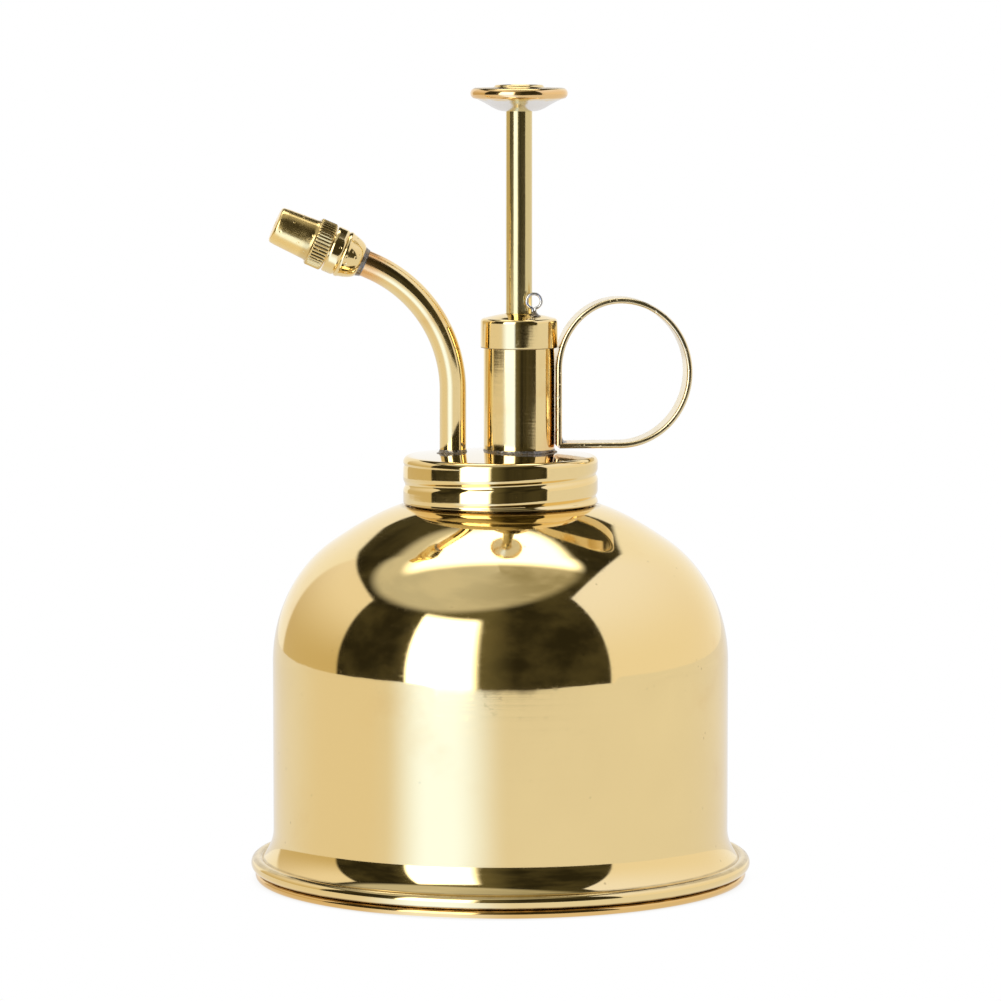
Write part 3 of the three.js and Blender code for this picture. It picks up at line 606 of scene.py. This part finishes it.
def build_neck():
    """The neck: a foot on the seat and the rolled thread above it."""
    crest_r = CAP_R - CAP_SHEET - 0.4
    root_r = crest_r - THREAD_DEPTH
    seat_z = SEAT["z"] + 0.1
    thread_z0 = SEAT["z"] + 0.5
    top = NECK_HIGH[2]
    spigot_r = NECK_BORE_R + 0.8
    outline = (
        [(NECK_BORE_R, NECK_LOW[2]), (spigot_r, NECK_LOW[2]), (spigot_r, seat_z), (root_r, seat_z)]
        + [(crest_r, thread_z0), (crest_r, top - 0.2), (crest_r - 0.2, top), (NECK_BORE_R, top)]
    )

    def shape(angle, r, z):
        if r < crest_r - 0.01:
            return r
        return r - THREAD_DEPTH * (1 - (1 - groove(angle, z)) * fade(z, thread_z0, top, 0.9))

    # Painted shade darkens the neck's foot on the seat.
    marks = crevice_shade([(seat_z, 0.5, 0.5)])
    material = brass("brass_neck", LATHE_LINES, roughness=0.07, tarnish=0.5, ripple=0.5, extra=marks)
    neck = turned("neck", outline, material, segments=256, shape=shape, step=0.25)
    stand_for(neck, "tank", "turned_brass", "neck_ring")


# ---------------------------------------------------------------- cap

def under_barrel(point):
    """Whether a point of the cap's crown lies inside the barrel, where the crown is open."""
    return math.hypot(point[0] - PUMP_X, point[1]) < BARREL_R - 0.3


def cap_marks(s, colour, rough):
    """The cap's top painted whitish as a painted reflection of the bright light overhead, and painted shade
    along its rim.
    """
    top = s.ramp(s.height(), CAP_EDGE_Z - 0.1, CAP_EDGE_Z + 0.1, 0.0, 0.7)
    # Painted reflection: the top mixed towards white for the light overhead.
    colour = s.mix(top, colour, OVERHEAD_REFLECTION_WHITE)
    # Painted shade along the crevice under the cap's rim.
    return crevice_shade([(CAP_LOW[2] + 0.1, 0.3, 0.4)])(s, colour, rough)


def build_cap():
    """The screw cap: domed top, rounded edge, and a skirt with the rolled thread and a hemmed rim."""
    inner_r = CAP_R - CAP_SHEET
    edge = 1.2
    edge_r = CAP_R - edge
    edge_z = CAP_EDGE_Z - edge
    skirt_top = edge_z - 0.1
    rim_z = CAP_LOW[2]

    def domed(r):
        return CAP_EDGE_Z + CAP_RISE * (1 - (r / edge_r) ** 2)

    rings = 24
    radii = [edge_r * (1 - ring / rings) for ring in range(1, rings + 1)]
    dome = [(r, domed(r)) for r in radii]
    outline = (
        [(r, z - CAP_SHEET) for r, z in reversed(dome)]
        + [(edge_r - 0.3, domed(edge_r) - CAP_SHEET), (inner_r, skirt_top), (inner_r, rim_z + 0.35)]
        + arc(inner_r + 0.35, rim_z + 0.35, 0.35, 180, 360, 12)
        + [(CAP_R, skirt_top)]
        + arc(edge_r, edge_z, edge, 0, 86, 20)
        + dome
    )

    def shape(angle, r, z):
        if z > skirt_top:
            return r
        return r - OUTER_GROOVE * groove(angle, z) * fade(z, rim_z + 0.2, skirt_top, 0.7)

    material = brass(
        "brass_cap", LATHE_LINES, roughness=0.05, tarnish=0.4, ripple=0.5, extra=cap_marks, lines_deep=2e-6
    )
    cap = turned("cap", outline, material, segments=320, shape=shape, step=0.16, hole=under_barrel)
    stand_for(cap, "cap", "sheet_brass", "cap_shell")


# ---------------------------------------------------------------- pump

def build_barrel():
    """The pump barrel, standing through the cap."""
    bore = BARREL_R - SHEET
    low, high = BARREL_LOW[2], BARREL_HIGH[2]
    outline = rounded([(bore, low, 0.2), (BARREL_R, low, 0.2), (BARREL_R, high, 0.2), (bore, high, 0.2)])
    foot = (PUMP_X + BARREL_R, 0, CAP_EDGE_Z + 1)
    material = brass(
        "brass_barrel", LATHE_LINES, roughness=0.07, tarnish=0.5, ripple=0.5, droop=2.8,
        extra=heat_tint(foot, 2, 9, 0.5),
    )
    barrel = turned("barrel", outline, material, PUMP_CENTRE, segments=128)
    stand_for(barrel, "cap", "sheet_brass", "pump_barrel")


def build_gland():
    """The cap pressed on the barrel's top, with a rounded edge and a low dome round the rod."""
    sleeve_r = BARREL_R + 0.1
    low = GLAND_LOW[2]
    edge_z = 112.2
    edge = 0.8
    hole = ROD_R + 0.12
    rise = GLAND_HIGH[2] - edge_z

    def dome(r):
        return edge_z + rise * (1 - (r / (GLAND_R - edge)) ** 2)

    crown = [(r, dome(r)) for r in (6.4, 5.6, 4.8, 4.0, 3.4)]
    outline = (
        [(hole, dome(hole) - 1), (5, edge_z - 0.4), (sleeve_r, edge_z - 0.9), (sleeve_r, low)]
        + [(GLAND_R - 0.2, low)]
        + arc(GLAND_R - 0.15, low + 0.15, 0.15, -60, 0, 5)
        + arc(GLAND_R - edge, edge_z - edge, edge, 0, 84, 16)
        + crown
        + [(hole + 0.2, dome(hole) - 0.03), (hole, dome(hole) - 0.2)]
    )
    material = brass(
        "brass_gland", LATHE_LINES, roughness=0.07, tarnish=0.7, ripple=0.8, droop=5.5,
        # painted shade darkens the crevice at the gland's foot
        extra=crevice_shade([(low, 0.3, 0.8)]),
    )
    gland = turned("gland", outline, material, PUMP_CENTRE, segments=128, step=0.4)
    stand_for(gland, "cap", "sheet_brass", "gland_cap")


def build_pin():
    """The wire eye: a ring whose two ends go down side by side."""
    ring_z, ring_r = PIN["eye_z"], PIN["eye_r"]
    bend_z = ring_z - ring_r - 0.6
    legs_z = ring_z - ring_r - 3.2
    gap = 0.24  # from the middle to each leg
    opening = math.degrees(math.asin(gap / ring_r))
    loop = arc(PIN["x"], ring_z, ring_r, opening - 90, 270 - opening, 60)
    right = [(loop[0][0], legs_z), (loop[0][0], bend_z)]
    left = [(loop[-1][0], bend_z), (loop[-1][0], legs_z)]
    path = [Vector((x, PIN["y"], z)) for x, z in right + loop + left]
    pin = swept("pin_eye", path, circle(PIN["wire"], 16), steel("pin_steel"))
    stand_for(pin, "cap", "steel", "split_pin")


def build_pin_solder():
    """The small mound of solder that the wire eye stands in."""
    foot_r = 1.35
    base_z = 112.3
    outline = (
        [(0, base_z), (foot_r, base_z)]
        + hermite((foot_r, base_z + 0.5), (PIN["wire"], base_z + 1.55), -0.3, -1.6, 10)
        + [(0, base_z + 1.65)]
    )
    mound = turned("solder_pin", outline, SOLDER_LOOK, (PIN["x"], PIN["y"]), segments=40, step=0.2)
    stand_for(mound, "cap", "steel")


def build_rod():
    """The plunger's drawn rod, a tube."""
    bore = 1.9
    low, high = ROD_LOW[2], ROD_HIGH[2]
    outline = rounded([(bore, low, 0), (ROD_R, low, 0.2), (ROD_R, high, 0), (bore, high, 0)])
    material = brass("brass_rod", (1500, 1500, 8), roughness=0.15, tarnish=0.9, tint=DRAWN_BRASS, droop=4)
    rod = turned("rod", outline, material, PUMP_CENTRE, 96)
    stand_for(rod, "plunger", "sheet_brass", "plunger_rod")


def knob_marks(s, colour, rough):
    """The knob's orange rim, a painted reflection of the white floor on its underside, and painted shade in
    the hollow of its crown.
    """
    rim_z = KNOB_RIM["z"]
    ragged = s.math("MULTIPLY", s.noise((500, 500, 500), detail=3), 0.8)
    lifted = s.math("SUBTRACT", s.height(), ragged)
    rim = s.band(lifted, rim_z - 1.4, rim_z + 0.45, 0.2, 0.25)
    colour = s.mix(s.math("MULTIPLY", rim, 0.8), colour, RIM_ORANGE)
    # Painted reflection: the underside mixed towards silver for the white floor it mirrors.
    under = s.ramp(lifted, rim_z - 1.9, rim_z - 1.4, 0.85, 0.0)
    colour = s.mix(under, colour, FLOOR_REFLECTION_SILVER)
    rough = s.math("ADD", rough, s.math("MULTIPLY", under, 0.1))
    # Painted shade in the hollow of the crown.
    return crevice_shade([(KNOB_HIGH[2] - 0.6, 0.3, 0.5)])(s, colour, rough)


def build_knob():
    """The thumb knob brazed on the rod's top: a dished underside, a round rim and a hollow crown."""
    bottom, top = KNOB_LOW[2], KNOB_HIGH[2]
    rim_z, rim_half = KNOB_RIM["z"], KNOB_RIM["half"]
    rim_r = KNOB_R - rim_half
    crown_r = 4.4
    socket = ROD_R + 0.05
    outline = (
        [(0, rim_z - rim_half), (socket, rim_z - rim_half), (socket, bottom + 0.2), (socket + 0.5, bottom)]
        + hermite((3.3, bottom), (6.2, bottom + 1.25), 0.1, 0.62, 12)
        + hermite((6.2, bottom + 1.25), (rim_r - 0.2, rim_z - rim_half - 0.05), 0.62, 0.5, 8)[1:]
        + arc(rim_r, rim_z, rim_half, -62, 84, 24)
        + hermite((rim_r - 0.6, rim_z + rim_half - 0.1), (crown_r + 0.6, top - 0.45), 0.05, -0.35, 8)
        + arc(crown_r + 0.1, top - 0.35, 0.35, 50, 140, 8)
        + hermite((crown_r - 0.5, top - 0.25), (2.2, top - 0.9), 0.75, 0.2, 8)
        + hermite((2.2, top - 0.9), (0, top - 0.75), 0.2, 0, 8)[1:]
    )
    material = brass(
        "brass_knob", (300, 300, 300), roughness=0.09, tarnish=1.0, ripple=0.8, extra=knob_marks
    )
    knob = turned("knob", outline, material, PUMP_CENTRE, segments=160, step=0.35)
    stand_for(knob, "plunger", "turned_brass", "thumb_knob")


# ---------------------------------------------------------------- spout, nozzle and finger loop

def spout_path():
    """The spout's centre line: up from the cap, round the bend and on into the nozzle."""
    bend_x = SPOUT_X - SPOUT["bend_r"]
    turn_by = 90 - math.degrees(NOZZLE_TILT)
    rise = [(SPOUT_X, z) for z in (SPOUT["z0"], 84, 88, 92, 95, 96.5)]
    bend = arc(bend_x, SPOUT["bend_z"], SPOUT["bend_r"], 0, turn_by, 48)
    end = Vector((bend[-1][0], 0, bend[-1][1]))
    points = [Vector((x, 0, z)) for x, z in rise + bend]
    points += [end + NOZZLE_ALONG * SPOUT["straight"] * t for t in (0.25, 0.5, 0.75, 1)]
    return points


def build_spout():
    """The bent spout tube."""
    marks = heat_tint(tuple(NOZZLE_BACK), 2, 8, 0.9)
    material = brass(
        "brass_spout", (420, 420, 420), roughness=0.09, tarnish=0.6, ripple=0.5, droop=7.5, extra=marks
    )
    spout = swept("spout", spout_path(), circle(SPOUT["r"], 64), material)
    stand_for(spout, "cap", "sheet_brass", "spout_tube")


def on_nozzle(obj):
    """Moves a piece turned about +Z at the origin onto the nozzle's axis."""
    turn = Vector((0, 0, 1)).rotation_difference(NOZZLE_ALONG).to_matrix().to_4x4()
    obj.data.transform(Matrix.Translation(NOZZLE_BACK * MM) @ turn)
    return obj


def build_nozzle_body():
    """The fixed half of the nozzle: a bulb that sleeves the spout, a collar, and a stub in the tip."""
    joint = NOZZLE["joint"]
    socket = SPOUT["r"] + 0.05
    stub_r, stub_bore, stub_end = 3.1, 1.9, 13
    outline = (
        [(socket, 0.1), (2.9, 0)]
        + hermite((3.0, 0.02), (4.5, 3.1), 0.6, 4.2, 14)
        + arc(4.1, 3.6, 0.6, -20, 60, 6)
        + [(4.62, 4.35), (4.7, 4.6), (4.72, joint - 0.25), (4.55, joint)]
        + [(stub_r, joint), (stub_r, stub_end), (stub_bore, stub_end), (stub_bore, 5), (socket, 5)]
    )
    material = brass(
        "brass_nozzle_body", (500, 500, 500), roughness=0.1, tarnish=0.7, ripple=0.7, pits=1.0
    )
    body = on_nozzle(turned("nozzle_socket", outline, material, segments=128, step=0.35))
    stand_for(body, "cap", "turned_brass", "nozzle_body")


def knurl(angle, r, z):
    """The radius of the tip's straight knurl, with teeth that die out at the grip's ends."""
    if r <= NOZZLE["grip_r"] - 0.05:
        return r
    ridge = 0.5 + 0.5 * math.cos(TEETH * angle)
    on_grip = fade(z, NOZZLE["grip_z0"] + 0.05, NOZZLE["grip_z1"] - 0.05, 0.35)
    return r - TOOTH_DEPTH * on_grip * (1 - ridge**1.5)


def grip_dirt(s, colour, rough):
    """A thin film of dirt over the middle of the grip."""
    middle_of_grip = NOZZLE_BACK + NOZZLE_ALONG * (NOZZLE["grip_z0"] + NOZZLE["grip_z1"]) / 2
    near = s.ramp(s.distance_from(tuple(middle_of_grip)), 4.9, 5.6, 0.25, 0.0)
    return s.mix(near, colour, GRIME_AND_SHADE), rough


def build_nozzle_tip():
    """The adjustable tip: a knurled grip, a slim front with a rounded edge, and the jet's hole."""
    grip_z0, grip_z1, grip_r = NOZZLE["grip_z0"], NOZZLE["grip_z1"], NOZZLE["grip_r"]
    front_r, end = NOZZLE["front_r"], NOZZLE["end"]
    bore, inner_bore, jet_r = 3.2, 2.8, 0.4
    step_z, chamber_z = 15, 17.2
    edge = 0.65
    outline = (
        [(bore, grip_z0), (grip_r - 0.25, grip_z0), (grip_r, grip_z0 + 0.25)]
        + [(grip_r, grip_z1 - 0.3), (grip_r - 0.25, grip_z1)]
        + hermite((grip_r - 0.5, grip_z1 + 0.05), (4.15, grip_z1 + 0.5), 0.3, -3, 6)
        + [(4.1, grip_z1 + 1.2), (front_r + 0.1, end - 1.4)]
        + arc(front_r - edge, end - edge, edge, 8, 80, 12)
        + [(0.9, end + 0.02), (jet_r + 0.02, end - 0.25), (jet_r, chamber_z)]
        + [(inner_bore, chamber_z), (inner_bore, step_z), (bore, step_z)]
    )
    material = brass(
        "brass_nozzle_tip", (420, 420, 420), roughness=0.2, tarnish=1.0, ripple=0.9, pits=0.7,
        tint=NOZZLE_BRASS, extra=grip_dirt,
    )
    tip = on_nozzle(turned("nozzle_barrel", outline, material, segments=TEETH * 8, shape=knurl, step=0.3))
    stand_for(tip, "nozzle_tip", "turned_brass", "nozzle_tip")


def build_nozzle_solder():
    """The ring of solder where the spout goes into the nozzle."""
    socket = SPOUT["r"] + 0.05
    outline = (
        [(socket, -0.9), (socket + 0.1, -0.9)]
        + hermite((socket + 0.1, -0.7), (3.1, 0.25), 1.2, 3.2, 10)
        + [(socket, 0.35)]
    )
    ring = on_nozzle(turned("solder_nozzle", outline, SOLDER_LOOK, segments=72, step=0.2))
    stand_for(ring, "cap", "steel")


def loop_path():
    """The finger loop's centre line: up the barrel, over, round and back along the cap."""
    strip_x = STRIP_X + LOOP["thick"] / 2
    bottom = LOOP["z"] - LOOP["rise"]
    top = LOOP["z"] + LOOP["rise"]
    up = [(strip_x, z) for z in (bottom + 0.05, bottom + 2, bottom + 5, bottom + 9, LOOP["near_z"] - 1)]
    near = arc(LOOP["x"], LOOP["near_z"], LOOP["x"] - strip_x, 180, 90, 40, radius_z=top - LOOP["near_z"])
    far = arc(LOOP["x"], LOOP["z"], LOOP["out"], 90, -90, 72, radius_z=LOOP["rise"])
    back = [(LOOP["x"] - step, bottom) for step in (1.5, 4, 7, 10)] + [(strip_x + 0.1, bottom)]
    return [Vector((x, 0, z)) for x, z in up + near + far[1:] + back]


def build_loop():
    """The finger loop: one flat strip with rounded edges."""
    half_width, half_thick = LOOP["width"] / 2, LOOP["thick"] / 2
    corner = 0.42
    section = rounded(
        [
            (-half_width, -half_thick, corner), (half_width, -half_thick, corner),
            (half_width, half_thick, corner), (-half_width, half_thick, corner),
        ],
        steps=5,
    )
    foot = (BARREL_HIGH[0], 0, CAP_EDGE_Z + 1)
    material = brass(
        "brass_loop", (300, 30, 300), roughness=0.17, tarnish=0.5, ripple=1.0, pits=0.5,
        tint=LOOP_BRASS, extra=heat_tint(foot, 1, 7, 0.6),
    )
    loop = swept("loop", loop_path(), dense(section, 0.8), material)
    stand_for(loop, "cap", "sheet_brass", "finger_loop")


def fillet_ring(name, centre, radius, z, reach, height):
    """A solder fillet round an upright tube where it stands on the cap."""
    outline = [(radius - 0.1, z - 0.6), (radius + reach, z - 0.6)]
    outline += hermite((radius + reach, z), (radius + 0.02, z + height), -0.25, -3.5, 12)
    outline += [(radius - 0.1, z + height)]

    def shape(angle, r, z_here):
        wave = math.sin(3 * angle + radius) + 0.6 * math.sin(7 * angle + 2 * radius)
        return r + 0.09 * reach * wave if r > radius + 0.05 else r

    ring = turned(name, outline, SOLDER_LOOK, centre, segments=96, shape=shape, step=0.2)
    stand_for(ring, "cap", "steel")


def build_cap_solder():
    """Solder fillets at the feet of the pump and the spout."""
    top = CAP_HIGH[2]
    fillet_ring("solder_pump", PUMP_CENTRE, BARREL_R, top - 0.15, 0.55, 0.6)
    fillet_ring("solder_spout", (SPOUT_X, 0), SPOUT["r"], top - 0.3, 0.6, 0.7)


def build_loop_solder():
    """The solder fillet in the finger loop's lower corner, thinner towards both of its ends."""
    inner_x = STRIP_X + LOOP["thick"]
    floor_z = LOOP["z"] - LOOP["rise"] + LOOP["thick"] / 2
    sunk = 0.4
    origin = Vector((inner_x - sunk, floor_z - sunk))
    reach, height = 1.3, 2.08
    half = LOOP["width"] / 2 - 0.25
    corner = (
        [origin, (inner_x + reach, floor_z - 0.1)]
        + hermite((inner_x + reach, floor_z), (inner_x, floor_z + height), -0.2, -5, 10)
        + [(inner_x - sunk, floor_z + height)]
    )
    vertices = []
    rows = []
    slices = 16
    for index in range(slices + 1):
        offset = 2 * index / slices - 1
        shrink = 1 - 0.35 * abs(offset) ** 3
        rows.append(list(range(len(vertices), len(vertices) + len(corner))))
        for point in corner:
            x, z = origin + (Vector(point) - origin) * shrink
            vertices.append((x, half * offset, z))
    faces = grid_faces(rows, closed=False) + [rows[0], rows[-1][::-1]]
    stand_for(make_object("solder_loop", vertices, faces, SOLDER_LOOK), "cap", "steel")


# ---------------------------------------------------------------- carried-over CAD nodes

def dress_cad_nodes():
    """Gives each inner CAD node that stays its own procedural material."""
    looks = {
        rubber(): [
            "cap_gasket", "nozzle_o_ring", "nozzle_washer", "piston_ring_lower", "piston_ring_upper",
        ],
        turned_brass_inside(): ["valve_body", "passage_plug", "piston", "swirl_core", "delivery_pipe"],
        steel("steel"): ["ball_stop_pin", "suction_ball", "delivery_ball", "piston_screw", "return_spring"],
        nylon(): ["dip_tube", "strainer", "gland_bush"],
        felt(): ["gland_packing"],
    }
    for material, names in looks.items():
        for name in names:
            mesh = NODES[name].data
            mesh.materials.clear()
            mesh.materials.append(material)


# ---------------------------------------------------------------- studio

# Directions in the studio are azimuth and elevation in degrees: azimuth 0 is the camera's side, and
# it grows to the right.
CAMERA_AT = Vector((-0.08803, -1.00616, 0.17435))
CAMERA_AIM = Vector((0, 0, 0.07575))
SENSOR_WIDTH = 36  # this and the lens in mm
LENS = 182.98
# How far the table reaches from the object, in mm, at some azimuths.
TABLE_REACH = (
    (-180, 900), (-90, 720), (-50, 690), (-30, 372), (15, 370), (57, 530), (62, 1400), (180, 1400)
)
TABLE_Z = -0.1  # in mm, just under the base
WINDOW_LEFT, WINDOW_RIGHT, WINDOW_TOP = -48.5, -13, 43.5
OPENING_LEFT, OPENING_RIGHT = -90, 57
# The azimuth where each screen stands, and its height over its distance.
SCREENS = ((-108, 0.887), (90, 1.69), (180, 0.58))
SCREEN_EDGE = 0.02  # softness of a screen's top edge

WHITE = (1.0, 1.0, 1.0)
BEAM = (1.15, 1.45, 2.3)  # the window's beam on the table
WINDOW_GLOW = (3.6, 3.6, 3.6)
LAMP_GLOW = (3.0, 3.0, 3.0)


def camera_azimuth(s, forward=0.0):
    """The azimuth of a direction or place about the origin, or about a point some metres forward
    of it."""
    parts = s.node("ShaderNodeSeparateXYZ", {0: s.place})
    nearer = s.math("MULTIPLY", s.math("ADD", parts.outputs[1], forward), -1.0)
    angle = s.math("DEGREES", s.math("ARCTAN2", parts.outputs[0], nearer))
    return s.math("SUBTRACT", angle, CAMERA_TURN)


def table_glow(s):
    """The table's light on the object: nearly white, warm at the left, and blue in the beam."""
    cloud = s.noise((5, 5, 5))
    glow = s.mix(cloud, (0.80, 0.79, 0.81), (0.90, 0.90, 0.93))
    azimuth = camera_azimuth(s, forward=WALL_R * MM / 2)  # beams look straight in the tank's wall
    glow = s.mix(s.band(azimuth, -110, -60, 15, 10), glow, (0.85, 0.80, 0.73))
    beam = s.band(azimuth, WINDOW_LEFT + 0.5, WINDOW_RIGHT + 2, 11.5, 15)
    return s.mix(beam, glow, BEAM)


def table_look():
    """A table that glows evenly. The camera sees plain white, a little darker where the object
    shades it."""
    s = Shader("table")
    shade = s.node("ShaderNodeAmbientOcclusion", {"Distance": 0.03}, samples=8)
    seen = s.mix(s.ramp(shade.outputs["AO"], 0.0, 0.6), (0.86, 0.84, 0.80), WHITE)
    ray = s.node("ShaderNodeLightPath").outputs["Is Camera Ray"]
    light = s.node("ShaderNodeEmission", {"Color": s.mix(ray, table_glow(s), seen)})
    s.tree.links.new(light.outputs[0], s.output.inputs["Surface"])
    return s.material


def table_reach(azimuth):
    """How far the table reaches in a direction, in mm, with a slightly ragged edge."""
    ragged = 1 + 0.01 * math.sin(azimuth / 2.3) + 0.005 * math.sin(azimuth / 0.9)
    for (low, first), (high, last) in zip(TABLE_REACH, TABLE_REACH[1:]):
        if azimuth <= high:
            return ragged * (first + (last - first) * (azimuth - low) / (high - low))


def build_table():
    """The table: a fan of faces round the origin out to its edge."""
    rim = []
    for azimuth in range(-180, 180):
        turn = math.radians(azimuth + CAMERA_TURN)
        rim.append(Vector((math.sin(turn), -math.cos(turn), 0)) * table_reach(azimuth))
    centre = len(rim)
    faces = [(centre, k, (k + 1) % centre) for k in range(centre)]
    table = make_object("floor", rim + [Vector((0, 0, 0))], faces, table_look())
    table.location.z = TABLE_Z * MM


def dark_opening(s, azimuth):
    """The dim room beyond the screens, mottled, with a halo round the window."""
    mottled = s.noise((3, 3, 3), detail=4, shift=(4, 0, 1))
    colour = s.mix(s.ramp(mottled, 0.35, 0.7), (0.025, 0.022, 0.012), (0.07, 0.062, 0.033))
    halo = s.band(azimuth, WINDOW_LEFT, WINDOW_RIGHT + 12, 10, 10)
    return s.mix(s.math("MULTIPLY", halo, 0.5), colour, (0.22, 0.20, 0.11))


def screen_light(s, azimuth, elevation):
    """The screens' light: warm on the left, cool on the right and white behind."""
    warm = s.mix(s.ramp(elevation, 0, 36), (0.66, 0.55, 0.34), (0.93, 0.88, 0.84))
    cool = s.mix(s.ramp(elevation, 5, 55), (0.94, 0.90, 0.87), (1.0, 1.03, 1.25))
    left = s.band(azimuth, -144, -82.5, 2, 2.5)
    right = s.band(azimuth, 45, 145, 5, 20)
    return s.mix(left, s.mix(right, WHITE, cool), warm)


def on_screens(s, azimuth, height):
    """1 on the screens: below the top edge of any of them, and outside the dark opening."""
    screens = 0.0
    for side, ratio in SCREENS:
        edge = s.math("MULTIPLY", s.towards(side), ratio)
        below = s.ramp(s.math("SUBTRACT", edge, height), -SCREEN_EDGE, SCREEN_EDGE)
        screens = s.math("MAXIMUM", screens, below)
    opening = s.band(azimuth, OPENING_LEFT, OPENING_RIGHT, 1.2, 0.8)
    return s.math("MULTIPLY", screens, s.math("SUBTRACT", 1.0, opening))


def ceiling_light(s, azimuth, elevation):
    """The ceiling: grey, streaked, greener at the right, with a big lamp at its back."""
    grey = s.mix(s.ramp(azimuth, -60, 60), (0.60, 0.60, 0.58), (0.36, 0.34, 0.26))
    streaks = s.noise((2, 2, 9), detail=5, shift=(1, 6, 0))
    grey = s.mix(s.ramp(streaks, 0.4, 0.65, 0, 0.45), grey, (0.78, 0.76, 0.72))
    lamp = s.math("MULTIPLY", s.ramp(s.towards(180), 0.08, 0.24), s.ramp(elevation, 56, 63))
    return s.mix(lamp, grey, LAMP_GLOW)


def window_light(s, elevation):
    """The window's light, which goes over into its beam's colour below the horizon."""
    return s.mix(s.ramp(elevation, -10, -6), BEAM, WINDOW_GLOW)


def build_world():
    """White to the camera. Reflections see a lit room: screens behind and at the sides, a ceiling
    with a lamp, and in front a dark opening with a window in it."""
    world = bpy.data.worlds.new("studio")
    bpy.context.scene.world = world
    s = Shader("studio", world)
    azimuth = camera_azimuth(s)
    height = s.node("ShaderNodeSeparateXYZ", {0: s.place}).outputs[2]
    elevation = s.math("DEGREES", s.math("ARCSINE", height))

    screens = on_screens(s, azimuth, height)
    colour = s.mix(screens, dark_opening(s, azimuth), screen_light(s, azimuth, elevation))
    above = s.ramp(s.towards(-80, 80), 0.785, 0.845)
    above = s.math("MULTIPLY", above, s.math("SUBTRACT", 1.0, screens))
    colour = s.mix(above, colour, ceiling_light(s, azimuth, elevation))
    under_top = s.ramp(elevation, WINDOW_TOP - 3, WINDOW_TOP + 2, 1.0, 0.0)
    pane = s.math("MULTIPLY", s.band(azimuth, WINDOW_LEFT, WINDOW_RIGHT, 1.5, 3.5), under_top)
    colour = s.mix(pane, colour, window_light(s, elevation))

    ray = s.node("ShaderNodeLightPath").outputs["Is Camera Ray"]
    light = s.node("ShaderNodeBackground", {"Color": s.mix(ray, colour, WHITE)})
    s.tree.links.new(light.outputs[0], s.output.inputs["Surface"])


def build_camera():
    """The camera, a long lens about a metre away."""
    camera = bpy.data.objects.new("camera", bpy.data.cameras.new("camera"))
    bpy.context.scene.collection.objects.link(camera)
    camera.location = CAMERA_AT
    camera.rotation_euler = (CAMERA_AIM - CAMERA_AT).to_track_quat("-Z", "Y").to_euler()
    camera.data.sensor_width = SENSOR_WIDTH
    camera.data.lens = LENS
    camera.data.clip_start = 0.05
    camera.data.clip_end = 20
    bpy.context.scene.camera = camera
    bpy.context.scene.view_settings.view_transform = "Standard"


SOLDER_LOOK = solder()
build_bell()
build_foot()
build_neck()
build_cap()
build_barrel()
build_gland()
build_pin()
build_pin_solder()
build_rod()
build_knob()
build_spout()
build_nozzle_body()
build_nozzle_tip()
build_nozzle_solder()
build_loop()
build_cap_solder()
build_loop_solder()
dress_cad_nodes()
build_world()
build_table()
build_camera()
